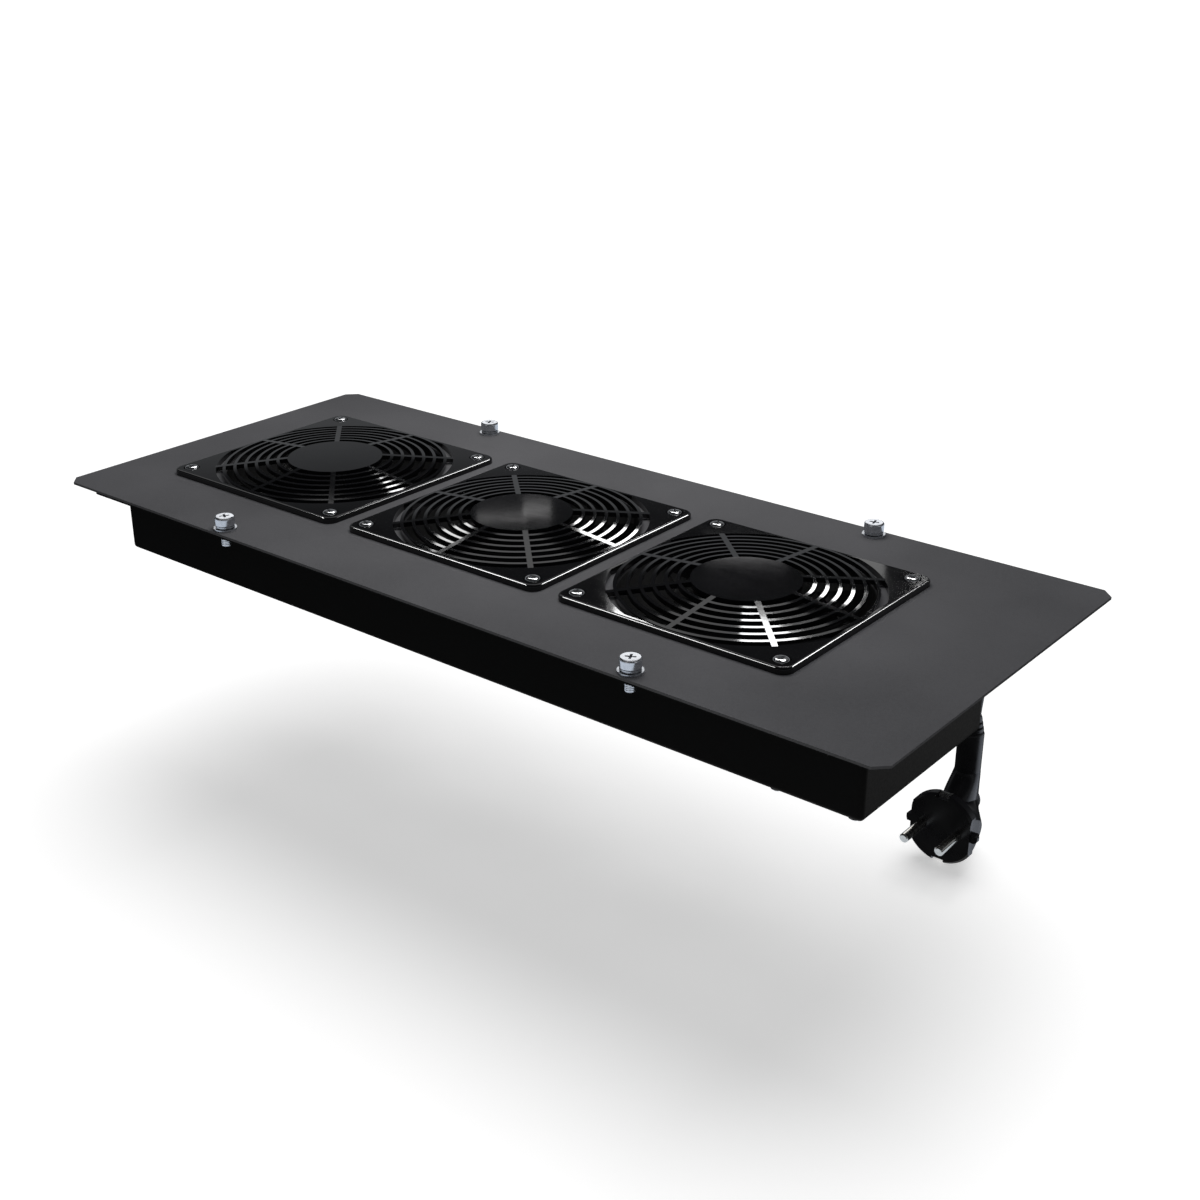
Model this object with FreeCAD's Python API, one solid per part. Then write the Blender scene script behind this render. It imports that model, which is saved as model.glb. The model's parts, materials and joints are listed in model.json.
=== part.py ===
import FreeCAD, Part
import math
import os
from FreeCAD import Vector

# Rack fan tray: a flat steel plate that closes the top or bottom of a cabinet, with three
# axial fans hung under it in a folded housing, moulded guards over the fans, a wiring
# compartment at one end and a short mains cord with an earthed two-pin plug.
#
# Frame: the origin is the centre of the four mounting screws, on the underside of the
# housing's flange, where the tray seats. +X runs along the plate to the wiring end, +Y to
# the back, where the cord leaves, and +Z up, the way the fans blow.

# ---------------------------------------------------------------------------------------
# Sizes, in millimetres and degrees
# ---------------------------------------------------------------------------------------

# Top plate and the four screws that hold the tray
plate_thickness = 1.2
plate_corner_cut = 5.4
end_overhang = 19.0
mount_spacing_x = 245.0
mount_edge_distance = 6.5
mount_screw_radius = 2.5
mount_neck_radius = 2.2
mount_hole_clearance = 0.3
mount_screw_reach = 8.2
washer_radius = 5.5
washer_thickness = 1.0
spring_washer_radius = 4.5
spring_washer_thickness = 1.4
spring_washer_split = 1.2
mount_head_radius = 4.75
mount_head_height = 4.2
mount_recess_reach = 2.6
mount_recess_width = 1.1
mount_recess_depth = 1.7

# Folded housing, and the room that it leaves round the fans
sheet = 1.2
bend_inside = 1.0
end_gap = 13.55
side_gap = 17.55
wiring_bay = 46.55
flange_width = 21.0
flange_setback = 0.5
flange_end_setback = 4.5
lip_width = 10.0
end_tab_width = 8.0
notch_length = 21.5
notch_width = 60.9
tab_end_gap = 8.8

# Fans
fan_count = 3
fan_gap = 10.5
fan_row_offset = -16.5
fan_size = 119.5
fan_depth = 38.0
fan_corner_radius = 6.0
fan_flange = 4.0
fan_hole_edge = 7.35
fan_hole_radius = 2.2
duct_side_wall = 2.75
duct_flare = 1.3
duct_flare_height = 3.9
barrel_wall = 4.0
motor_base_radius = 31.5
motor_base_thickness = 3.2
motor_base_setback = 0.8
strut_count = 4
strut_start_angle = 45.0
strut_root_radius = 15.5
strut_width = 5.0
strut_height = 4.4
strut_skew = 11.0
strut_end_gap = 0.05
bearing_tube_wall = 1.5

# Rotor, shaft and impeller
shaft_radius = 2.0
bearing_clearance = 0.05
bearing_radius = 5.0
bearing_width = 4.0
bearing_shoulder = 1.0
hub_radius = 31.0
hub_wall = 2.0
hub_open_gap = 1.2
hub_face_setback = 1.6
hub_face_thickness = 2.0
hub_edge_radius = 3.0
hub_boss_radius = 4.5
hub_boss_height = 3.0
shaft_seat_depth = 1.0
rotor_ring_wall = 4.6
rotor_ring_height = 21.0
air_gap = 0.5
pole_count = 4
pole_arm_width = 8.0
pole_shoe_depth = 3.6
pole_shoe_span = 72.0
yoke_wall = 4.0
stator_height = 15.0
coil_overhang = 3.0
coil_build = 3.2
coil_yoke_gap = 1.0
coil_shoe_gap = 0.3
blade_count = 5
tip_clearance = 1.8
blade_edge_gap = 2.4
blade_thickness = 2.0
blade_camber = 0.11
blade_root_depth = 3.1
blade_root_angle = 38.0
blade_middle_angle = 49.0
blade_tip_angle = 58.0

# Moulded guard over each fan
guard_inset = 0.05
guard_corner_radius = 5.6
guard_edge_height = 3.0
guard_edge_round = 1.3
guard_side_rim = 2.4
guard_corner_opening = 4.2
guard_disc_radius = 24.6
guard_disc_gap = 5.0
guard_rise = 3.4
guard_bar_height = 2.2
guard_ring_count = 6
guard_ring_width = 1.6
guard_spoke_count = 8
guard_spoke_width = 2.6
guard_recess_radius = 4.1
guard_recess_depth = 1.1
guard_screw_radius = 1.95
guard_screw_head_radius = 3.5
guard_screw_head_height = 1.9
guard_screw_tail = 1.0
nut_across_flats = 7.0
nut_height = 3.2
nut_bore_clearance = 0.02
screw_hole_clearance = 0.25

# Wiring compartment
cover_thickness = 1.0
cover_setback = 3.0
cover_fan_gap = 0.75
cover_rib_height = 8.0
cover_rib_end_gap = 1.5
cover_corner_radius = 1.5
cover_screw_radius = 1.45
cover_screw_head_radius = 2.8
cover_screw_head_height = 1.8
cover_screw_length = 5.0
cover_screw_clearance = 0.1
cover_screw_inset = 5.6
terminal_pitch = 7.0
terminal_poles = 3
terminal_depth = 28.0
terminal_height = 14.0
terminal_end = 7.5
terminal_foot_height = 7.0
terminal_foot_setback = 7.0
terminal_well_depth = 4.7
terminal_well_clearance = 0.3
terminal_screw_radius = 1.8
terminal_screw_length = 2.5
terminal_entry_drop = 8.0
terminal_fan_distance = 19.75
terminal_wall_distance = 41.3
stud_radius = 1.5
stud_length = 11.0
stud_nut_across_flats = 5.5
stud_nut_height = 2.4
earth_stud_radius = 2.0
earth_stud_length = 12.0
earth_fan_distance = 17.75
earth_wall_distance = 41.3
lug_radius = 4.2
lug_thickness = 1.0
lug_bore_clearance = 0.1
lug_tail_width = 4.0
lug_tail_length = 10.5
lug_barrel_radius = 2.2
lug_barrel_length = 6.0
lug_barrel_rise = 1.0

# Fan leads and their plugs
lead_radius = 1.8
lead_wall_gap = 4.8
lead_spacing = 7.0
lead_straight = 10.0
lead_turn = 22.0
lead_entry_straight = 9.0
fan_plug_width = 20.0
fan_plug_height = 10.0
fan_plug_depth = 9.0
fan_plug_drop = 18.2
fan_plug_round = 1.5
clip_width = 8.0
clip_margin = 1.6
clip_clearance = 0.05
clip_offset = 46.0
core_radius = 1.25
core_spacing = 4.0
core_straight_share = 0.25

# Cord bushing in the back wall
bushing_fan_distance = 8.75
bushing_radius = 10.0
bushing_collar = 2.5
bushing_collar_side = 1.5
bushing_collar_chamfer = 1.0
bushing_body_radius = 7.9
bushing_hole_clearance = 0.1
bushing_inside = 6.0
bushing_barb = 0.7
bushing_barb_length = 1.2
bushing_end_chamfer = 1.0
bushing_nose_length = 5.0
bushing_nose_radius = 5.6
bushing_nose_taper = 1.4

# Mains cord and plug
cord_radius = 3.5
# The cord's corners from the bushing's nose: sideways, back and up
cord_corners = (
    (0.0, 12.5, 0.0),
    (-1.0, 23.5, -5.8),
    (-3.2, 30.5, -17.6),
    (-6.6, 32.3, -35.0),
    (-10.0, 29.3, -61.1),
    (-10.0, 29.3, -86.3),
)
plug_drop = 34.1
plug_face_to_neck = 24.8
plug_radius = 19.0
plug_rim = 5.0
plug_edge_round = 1.2
plug_flat = 16.0
plug_rib_reach = 19.3
plug_rib_height = 4.0
plug_rib_setback = 0.8
plug_rib_chamfer = 1.0
# Ovals of the plug's back: distance behind the rim, rise, half the width and half the height
plug_back_sections = (
    (0.0, 0.0, 18.2, 18.1),
    (7.5, 1.5, 16.2, 11.0),
    (15.0, 4.0, 10.5, 9.5),
    (22.0, 6.0, 7.5, 7.0),
)
neck_radius = 6.4
neck_length = 11.0
neck_edge_chamfer = 0.8
# Ovals of the plug's handle: drop below the neck, reach forward of the cord and half the width
plug_handle_sections = (
    (0.0, 6.42, 6.4),
    (3.5, 9.1, 6.9),
    (8.0, 13.8, 7.5),
    (13.0, 17.3, 8.0),
    (22.0, 18.7, 8.2),
    (32.0, 17.9, 8.0),
    (40.0, 14.3, 6.2),
)
pin_spacing = 19.0
pin_radius = 2.4
pin_length = 19.0
pin_chamfer = 0.7
earth_clip_width = 6.0
earth_clip_rise = 2.0
earth_clip_floor = 16.6
earth_clip_setback = 2.0
earth_clip_side_gap = 0.2
earth_clip_ramp = 1.5
earth_clip_nose = 1.0

# Shapes shared by all screw heads, as shares of the head or the shank
head_side_share = 0.5
head_crown_radius_share = 0.86
head_crown_height_share = 0.9
head_flat_share = 0.5
tip_chamfer_share = 0.3

# How the models are made: reach of a cutter past its work, sinking of a piece that is
# fused to another, share of a run that a bend takes, and how near counts as touching
over = 1.0
sunk = 0.5
bend_share = 0.45
touching = 0.001

# ---------------------------------------------------------------------------------------
# Places worked out from the sizes
# ---------------------------------------------------------------------------------------

plate_bottom = sheet
plate_top = plate_bottom + plate_thickness
fan_top = plate_bottom
fan_bottom = fan_top - fan_depth
fan_hole_spacing = fan_size - 2 * fan_hole_edge
duct_radius = fan_size / 2 - duct_side_wall
fan_pitch = fan_size + fan_gap
fan_centres = [
    fan_row_offset + (index - (fan_count - 1) / 2) * fan_pitch for index in range(fan_count)
]
fan_right_side = fan_centres[-1] + fan_size / 2

housing_bottom = fan_bottom
housing_left = fan_centres[0] - fan_size / 2 - end_gap - sheet
housing_right = fan_right_side + wiring_bay + sheet
housing_back = fan_size / 2 + side_gap + sheet
notch_x = housing_right - notch_length
notch_y = housing_back - notch_width
flange_reach = housing_back + flange_width
plate_half_width = flange_reach + flange_setback
mount_spacing_y = 2 * (plate_half_width - mount_edge_distance)

guard_size = fan_size - 2 * guard_inset
guard_side_opening = guard_size / 2 - guard_side_rim
guard_opening_radius = guard_side_opening + guard_corner_opening
guard_top = plate_top + guard_edge_height
disc_top = guard_top + guard_rise

terminal_x = fan_right_side + terminal_fan_distance
terminal_y = -housing_back + sheet + terminal_wall_distance
earth_x = fan_right_side + earth_fan_distance
earth_y = housing_back - sheet - earth_wall_distance
bushing_x = fan_right_side + bushing_fan_distance
bushing_z = housing_bottom / 2
cord_start = Vector(
    bushing_x, housing_back + bushing_collar + bushing_nose_length, bushing_z
)
cord_route = [cord_start] + [cord_start + Vector(*corner) for corner in cord_corners]
plug_x = cord_route[-1].x
plug_neck_y = cord_route[-1].y
neck_top_z = cord_route[-1].z
plug_centre_z = neck_top_z - plug_drop
plug_face_y = plug_neck_y - plug_face_to_neck
lead_y = -housing_back + sheet + lead_wall_gap
lead_start_z = fan_top - fan_plug_drop


# ---------------------------------------------------------------------------------------
# Shape helpers
# ---------------------------------------------------------------------------------------

def box(x_low, x_high, y_low, y_high, z_low, z_high):
    """Box between two corners."""
    corner = Vector(x_low, y_low, z_low)
    return Part.makeBox(x_high - x_low, y_high - y_low, z_high - z_low, corner)


def rod(radius, z_low, z_high, x=0.0, y=0.0):
    """Cylinder along Z."""
    return Part.makeCylinder(radius, z_high - z_low, Vector(x, y, z_low))


def ring(outer_radius, inner_radius, z_low, z_high, x=0.0, y=0.0):
    """Round tube along Z."""
    outer = rod(outer_radius, z_low, z_high, x, y)
    return outer.cut(rod(inner_radius, z_low - over, z_high + over, x, y))


def revolved(profile, centre=Vector(0, 0, 0), along_y=False):
    """Solid of revolution; the profile is (radius, height) points around Z or Y."""
    points = [Vector(radius, 0, height) for radius, height in profile]
    if along_y:
        points = [Vector(radius, height, 0) for radius, height in profile]
    axis = Vector(0, 1, 0) if along_y else Vector(0, 0, 1)
    face = Part.Face(Part.makePolygon(points + points[:1]))
    solid = face.revolve(Vector(0, 0, 0), axis, 360)
    solid.translate(centre)
    return solid


def rounded_wire(points, radius, z):
    """Closed flat outline at height z whose corners are arcs of one radius."""
    edges = []
    ends = []
    count = len(points)
    for index in range(count):
        corner = Vector(points[index][0], points[index][1], z)
        before = Vector(points[index - 1][0], points[index - 1][1], z)
        after = Vector(points[(index + 1) % count][0], points[(index + 1) % count][1], z)
        to_before = (before - corner).normalize()
        to_after = (after - corner).normalize()
        half = to_before.getAngle(to_after) / 2
        reach = radius / math.tan(half)
        middle_way = (to_before + to_after).normalize()
        centre = corner + middle_way * (radius / math.sin(half))
        start = corner + to_before * reach
        stop = corner + to_after * reach
        ends.append((start, stop))
        edges.append(Part.Arc(start, centre - middle_way * radius, stop).toShape())
    for index in range(count):
        following = ends[(index + 1) % count][0]
        edges.append(Part.LineSegment(ends[index][1], following).toShape())
    return Part.Wire(Part.__sortEdges__(edges))


def rounded_prism(points, radius, z_low, z_high):
    """Upright prism over a rounded outline."""
    face = Part.Face(rounded_wire(points, radius, z_low))
    return face.extrude(Vector(0, 0, z_high - z_low))


def square(size):
    """Corner points of a square centred on the origin."""
    half = size / 2
    return [(-half, -half), (half, -half), (half, half), (-half, half)]


def corner_places(spacing_x, spacing_y=None):
    """Four places on a rectangle centred on the origin."""
    half_x = spacing_x / 2
    half_y = (spacing_y or spacing_x) / 2
    return [(-half_x, -half_y), (half_x, -half_y), (half_x, half_y), (-half_x, half_y)]


def turned(shape, angle):
    """Copy of a shape turned about Z."""
    copy = shape.copy()
    copy.rotate(Vector(0, 0, 0), Vector(0, 0, 1), angle)
    return copy


def moved(shape, x=0.0, y=0.0, z=0.0):
    """Copy of a shape moved to a place."""
    copy = shape.copy()
    copy.translate(Vector(x, y, z))
    return copy


def hexagon_nut(across_flats, bore_radius, z_low, z_high):
    """Hexagon nut without thread."""
    corner_radius = across_flats / math.sqrt(3)
    points = []
    for index in range(6):
        angle = math.radians(60 * index)
        points.append(Vector(corner_radius * math.cos(angle), corner_radius * math.sin(angle), z_low))
    face = Part.Face(Part.makePolygon(points + points[:1]))
    body = face.extrude(Vector(0, 0, z_high - z_low))
    return body.cut(rod(bore_radius, z_low - over, z_high + over))


def pan_head_screw(head_radius, head_height, shank_radius, seat_z, tip_z):
    """Screw standing on seat_z with its flat-topped round head up and its tip at tip_z."""
    top = seat_z + head_height
    side_top = seat_z + head_side_share * head_height
    rim = Vector(head_radius, 0, side_top)
    crown = Vector(
        head_crown_radius_share * head_radius, 0, seat_z + head_crown_height_share * head_height
    )
    flat = Vector(head_flat_share * head_radius, 0, top)
    chamfer = tip_chamfer_share * shank_radius
    corners = [
        rim,
        Vector(head_radius, 0, seat_z),
        Vector(shank_radius, 0, seat_z),
        Vector(shank_radius, 0, tip_z + chamfer),
        Vector(shank_radius - chamfer, 0, tip_z),
        Vector(0, 0, tip_z),
        Vector(0, 0, top),
        flat,
    ]
    edges = [Part.Arc(flat, crown, rim).toShape()]
    for first, second in zip(corners, corners[1:]):
        edges.append(Part.LineSegment(first, second).toShape())
    face = Part.Face(Part.Wire(edges))
    return face.revolve(Vector(0, 0, 0), Vector(0, 0, 1), 360)


def tube_along(route, radius, name):
    """Round tube along straight runs joined by tangent arcs; prints the arcs' radii."""
    edges = []
    radii = []
    start = route[0]
    for before, corner, after in zip(route, route[1:], route[2:]):
        to_before = before - corner
        to_after = after - corner
        shorter = min(to_before.Length, to_after.Length)
        half_turn = (math.pi - to_before.getAngle(to_after)) / 2
        bend = bend_share * shorter / math.tan(half_turn)
        reach = bend * math.tan(half_turn)
        to_before.normalize()
        to_after.normalize()
        arc_start = corner + to_before * reach
        arc_stop = corner + to_after * reach
        inward = (to_before + to_after).normalize()
        arc_middle = corner + inward * (bend / math.cos(half_turn) - bend)
        edges.append(Part.LineSegment(start, arc_start).toShape())
        edges.append(Part.Arc(arc_start, arc_middle, arc_stop).toShape())
        radii.append(round(bend, 1))
        start = arc_stop
    edges.append(Part.LineSegment(start, route[-1]).toShape())
    path = Part.Wire(edges)
    direction = (route[1] - route[0]).normalize()
    section = Part.Wire(Part.makeCircle(radius, route[0], direction))
    solid = path.makePipeShell([section], True, False)
    print(name, "length", round(path.Length, 1), "radii", radii)
    print(name, "volume over section times length",
          round(solid.Volume / (math.pi * radius ** 2 * path.Length), 4))
    return solid


# ---------------------------------------------------------------------------------------
# Top plate, housing and mounting screws
# ---------------------------------------------------------------------------------------

def make_top_plate():
    left = housing_left - end_overhang
    right = housing_right + end_overhang
    half = plate_half_width
    cut = plate_corner_cut
    outline = [
        (left + cut, -half), (right - cut, -half), (right, -half + cut), (right, half - cut),
        (right - cut, half), (left + cut, half), (left, half - cut), (left, -half + cut),
    ]
    points = [Vector(x, y, plate_bottom) for x, y in outline]
    face = Part.Face(Part.makePolygon(points + points[:1]))
    plate = face.extrude(Vector(0, 0, plate_thickness))
    holes = []
    for centre in fan_centres:
        holes.append(rod(duct_radius, plate_bottom - over, plate_top + over, centre))
        for x, y in corner_places(fan_hole_spacing):
            hole_radius = guard_screw_radius + screw_hole_clearance
            holes.append(rod(hole_radius, plate_bottom - over, plate_top + over, centre + x, y))
    return plate.cut(holes + mount_holes())


def mount_holes():
    """The four mounting holes, through the plate and the housing's flanges."""
    radius = mount_screw_radius + mount_hole_clearance
    places = corner_places(mount_spacing_x, mount_spacing_y)
    return [rod(radius, -over, plate_top + over, x, y) for x, y in places]


def housing_outline(inset):
    """Plan of the housing, stepped in at the back right corner."""
    left = housing_left + inset
    front = -housing_back + inset
    return [
        (left, front), (housing_right - inset, front), (housing_right - inset, notch_y - inset),
        (notch_x - inset, notch_y - inset), (notch_x - inset, housing_back - inset),
        (left, housing_back - inset),
    ]


def outer_bottom_edges(shape, bottom):
    """Edges round the outside of the housing's bottom."""
    outer_face = Part.Face(rounded_wire(housing_outline(0), bend_inside + sheet, bottom))
    rim = outer_face.OuterWire
    found = []
    for edge in shape.Edges:
        middle = edge.valueAt((edge.FirstParameter + edge.LastParameter) / 2)
        on_rim = rim.distToShape(Part.Vertex(middle))[0] < touching
        if on_rim and abs(edge.BoundBox.ZMax - bottom) < touching:
            found.append(edge)
    return found


def make_housing():
    bend_outside = bend_inside + sheet
    walls = rounded_prism(housing_outline(0), bend_outside, housing_bottom, plate_bottom)
    walls = walls.makeFillet(bend_outside, outer_bottom_edges(walls, housing_bottom))
    hollow = rounded_prism(
        housing_outline(sheet), bend_inside, housing_bottom + sheet, plate_bottom + over
    )
    mouth = rounded_prism(
        housing_outline(sheet + lip_width), bend_inside, housing_bottom - over, plate_bottom
    )
    frame = walls.cut([hollow, mouth])
    frame = frame.fuse(housing_flanges() + end_tabs()).removeSplitter()
    return frame.cut(mount_holes() + cover_holes() + [bushing_hole()])


def housing_flanges():
    """Flanges turned out along the front and the back, under the plate's edges."""
    left = housing_left + flange_end_setback
    right = housing_right - flange_end_setback
    front = box(left, right, -flange_reach, -housing_back + sheet / 2, 0, sheet)
    back = box(left, right - notch_length, housing_back - sheet / 2, flange_reach, 0, sheet)
    return [front, back]


def end_tabs():
    """Tabs turned in along the tops of the two end walls, welded under the plate."""
    left_wall = housing_left + sheet / 2
    right_wall = housing_right - sheet / 2
    front = -housing_back + tab_end_gap
    left = box(left_wall, housing_left + sheet + end_tab_width, front, -front, 0, sheet)
    right_back = notch_y - tab_end_gap
    right = box(housing_right - sheet - end_tab_width, right_wall, front, right_back, 0, sheet)
    return [left, right]


def bushing_hole():
    radius = bushing_body_radius + bushing_hole_clearance
    start = Vector(bushing_x, housing_back - sheet - over, bushing_z)
    return Part.makeCylinder(radius, sheet + 2 * over, start, Vector(0, 1, 0))


def make_mounting_screws():
    seat = plate_top + washer_thickness + spring_washer_thickness
    screw = pan_head_screw(
        mount_head_radius, mount_head_height, mount_screw_radius, seat, plate_top - mount_screw_reach
    )
    recess = cross_recess(seat + mount_head_height)
    neck = ring(mount_screw_radius + over, mount_neck_radius, 0, seat)
    screw = screw.cut([recess, neck])
    places = corner_places(mount_spacing_x, mount_spacing_y)
    return Part.makeCompound([moved(screw, x, y) for x, y in places])


def cross_recess(top):
    """Cross-shaped cut in the top of a mounting screw's head."""
    reach = mount_recess_reach
    half_width = mount_recess_width / 2
    low = top - mount_recess_depth
    along = box(-reach, reach, -half_width, half_width, low, top + over)
    across = box(-half_width, half_width, -reach, reach, low, top + over)
    return along.fuse(across)


def make_flat_washers():
    bore = mount_screw_radius + mount_hole_clearance
    washer = ring(washer_radius, bore, plate_top, plate_top + washer_thickness)
    places = corner_places(mount_spacing_x, mount_spacing_y)
    return Part.makeCompound([moved(washer, x, y) for x, y in places])


def make_spring_washers():
    low = plate_top + washer_thickness
    high = low + spring_washer_thickness
    bore = mount_screw_radius + mount_hole_clearance / 2
    washer = ring(spring_washer_radius, bore, low, high)
    gap = box(0, washer_radius, -spring_washer_split / 2, spring_washer_split / 2, low - over, high + over)
    washer = washer.cut(gap)
    places = corner_places(mount_spacing_x, mount_spacing_y)
    return Part.makeCompound([moved(washer, x, y) for x, y in places])


# ---------------------------------------------------------------------------------------
# Fan: frame with its motor, and the impeller that turns. Each is made about the fan's
# axis, with z = 0 on the plate's underside, and set in place at the end.
# ---------------------------------------------------------------------------------------

base_bottom = -motor_base_setback - motor_base_thickness
hub_top = base_bottom - hub_open_gap
hub_bottom = -fan_depth + hub_face_setback
hub_inner_radius = hub_radius - hub_wall
tube_radius = bearing_radius + bearing_tube_wall
tube_bottom = hub_bottom + hub_face_thickness + hub_boss_height + hub_open_gap
motor_middle = (hub_top + hub_bottom + hub_face_thickness) / 2
rotor_ring_inner = hub_inner_radius - rotor_ring_wall
stator_radius = rotor_ring_inner - air_gap
blade_tip_radius = duct_radius - tip_clearance
blade_low = hub_bottom + blade_edge_gap
blade_high = hub_top - blade_edge_gap


def make_fan_frame():
    flanges = [
        rounded_prism(square(fan_size), fan_corner_radius, -fan_flange, 0),
        rounded_prism(square(fan_size), fan_corner_radius, -fan_depth, fan_flange - fan_depth),
    ]
    half = fan_size / 2
    barrel = rod(duct_radius + barrel_wall, -fan_depth, 0)
    barrel = barrel.common(box(-half, half, -half, half, -fan_depth, 0))
    body = barrel.fuse(flanges).removeSplitter()
    duct = revolved([
        (0, over), (duct_radius, over), (duct_radius, -fan_depth + duct_flare_height),
        (duct_radius + duct_flare, -fan_depth), (duct_radius + duct_flare, -fan_depth - over),
        (0, -fan_depth - over),
    ])
    screw_holes = [
        rod(fan_hole_radius, -fan_depth - over, over, x, y) for x, y in corner_places(fan_hole_spacing)
    ]
    return body.cut([duct] + screw_holes)


def make_motor_base():
    """Motor base on its skewed struts, with the bearing tube hanging from it."""
    top = -motor_base_setback
    base = rod(motor_base_radius, base_bottom, top)
    tube = rod(tube_radius, tube_bottom, top)
    inside_wall = rod(duct_radius - strut_end_gap, top - strut_height, top)
    strut = box(
        strut_root_radius, duct_radius + barrel_wall, strut_skew, strut_skew + strut_width,
        top - strut_height, top
    ).common(inside_wall)
    clear_of_hub = rod(motor_base_radius, top - strut_height - over, base_bottom)
    strut = strut.cut(clear_of_hub)
    angles = [strut_start_angle + 360 * index / strut_count for index in range(strut_count)]
    struts = [turned(strut, angle) for angle in angles]
    carrier = base.fuse([tube] + struts)
    return carrier.cut(rod(bearing_radius, tube_bottom - over, base_bottom - bearing_shoulder))


def make_stator():
    """Laminated stator core: a yoke on the bearing tube with arms and curved shoes."""
    low = motor_middle - stator_height / 2
    high = motor_middle + stator_height / 2
    yoke = rod(tube_radius + yoke_wall, low, high)
    arm = box(tube_radius, stator_radius - pole_shoe_depth / 2, -pole_arm_width / 2,
              pole_arm_width / 2, low, high)
    shoe = Part.makeCylinder(
        stator_radius, stator_height, Vector(0, 0, low), Vector(0, 0, 1), pole_shoe_span
    )
    shoe = shoe.cut(rod(stator_radius - pole_shoe_depth, low - over, high + over))
    shoe = turned(shoe, -pole_shoe_span / 2)
    pole = arm.fuse(shoe)
    poles = [turned(pole, 360 * index / pole_count) for index in range(pole_count)]
    core = yoke.fuse(poles).removeSplitter()
    return core.cut(rod(tube_radius, low - over, high + over))


def make_coils():
    """One winding round each arm of the stator."""
    low = motor_middle - stator_height / 2 - coil_overhang
    high = motor_middle + stator_height / 2 + coil_overhang
    inner = tube_radius + yoke_wall + coil_yoke_gap
    half_width = pole_arm_width / 2
    shoe_inside = stator_radius - pole_shoe_depth - coil_shoe_gap
    outer = math.sqrt(shoe_inside ** 2 - (half_width + coil_build) ** 2)
    coil = box(inner, outer, -half_width - coil_build, half_width + coil_build, low, high)
    coil = coil.cut(box(inner - over, outer + over, -half_width, half_width,
                        low + coil_overhang, high - coil_overhang))
    return Part.makeCompound([turned(coil, 360 * index / pole_count) for index in range(pole_count)])


def make_bearings():
    bore = shaft_radius + bearing_clearance
    upper_top = base_bottom - bearing_shoulder
    upper = ring(bearing_radius, bore, upper_top - bearing_width, upper_top)
    lower = ring(bearing_radius, bore, tube_bottom, tube_bottom + bearing_width)
    return Part.makeCompound([upper, lower])


def make_shaft():
    low = hub_bottom + hub_face_thickness - shaft_seat_depth
    return rod(shaft_radius, low, base_bottom - bearing_shoulder)


def make_rotor_ring():
    """Steel ring pressed into the hub, round the stator."""
    half = rotor_ring_height / 2
    return ring(hub_inner_radius, rotor_ring_inner, motor_middle - half, motor_middle + half)


def make_hub():
    """Cup with its closed face at the bottom and a boss that holds the shaft."""
    face_top = hub_bottom + hub_face_thickness
    cup = rod(hub_radius, hub_bottom, hub_top)
    rim = [edge for edge in cup.Edges if abs(edge.BoundBox.ZMax - hub_bottom) < touching]
    cup = cup.makeFillet(hub_edge_radius, rim)
    cup = cup.cut(rod(hub_inner_radius, face_top, hub_top + over))
    boss = rod(hub_boss_radius, face_top - sunk, face_top + hub_boss_height)
    shaft_seat = rod(shaft_radius, face_top - shaft_seat_depth, hub_top)
    return cup.fuse(boss).cut(shaft_seat)


def blade_section(radius, angle):
    """Cambered section of a blade, on a plane square to the blade's own radius."""
    lean = math.radians(angle)
    chord = (blade_high - blade_low) / math.cos(lean)
    middle_z = (blade_high + blade_low) / 2
    along = Vector(0, math.sin(lean), math.cos(lean)) * (chord / 2)
    normal = Vector(0, math.cos(lean), -math.sin(lean))
    centre = Vector(radius, 0, middle_z)
    first = centre - along
    last = centre + along
    sag = blade_camber * chord
    inner = Part.Arc(first, centre + normal * (sag - blade_thickness / 2), last)
    outer = Part.Arc(last, centre + normal * (sag + blade_thickness / 2), first)
    return Part.Wire([inner.toShape(), outer.toShape()])


def make_impeller():
    """Hub with swept, twisted blades trimmed to the hub and to the duct."""
    middle_radius = (hub_radius + blade_tip_radius) / 2
    inside_hub = hub_radius - blade_root_depth
    sections = [
        blade_section(inside_hub, blade_root_angle),
        blade_section(middle_radius, blade_middle_angle),
        blade_section(blade_tip_radius, blade_tip_angle),
    ]
    blade = Part.makeLoft(sections, True)
    reach = ring(blade_tip_radius, hub_radius - hub_wall / 2, hub_bottom, hub_top)
    blade = blade.common(reach)
    blades = [turned(blade, 360 * index / blade_count) for index in range(blade_count)]
    return make_hub().fuse(blades)


# ---------------------------------------------------------------------------------------
# Moulded guard: a square frame with a domed grille of rings and spokes
# ---------------------------------------------------------------------------------------

def grille_top(radius):
    """Height of the grille's upper face at a radius, rising from the frame to the disc."""
    slope = guard_rise / (guard_opening_radius - guard_disc_radius)
    return guard_top + slope * max(0, guard_opening_radius - max(radius, guard_disc_radius))


def grille_ring(inner, outer):
    """One ring of the grille, with its top on the dome."""
    return revolved([
        (inner, grille_top(inner)), (outer, grille_top(outer)),
        (outer, grille_top(outer) - guard_bar_height), (inner, grille_top(inner) - guard_bar_height),
    ])


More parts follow.
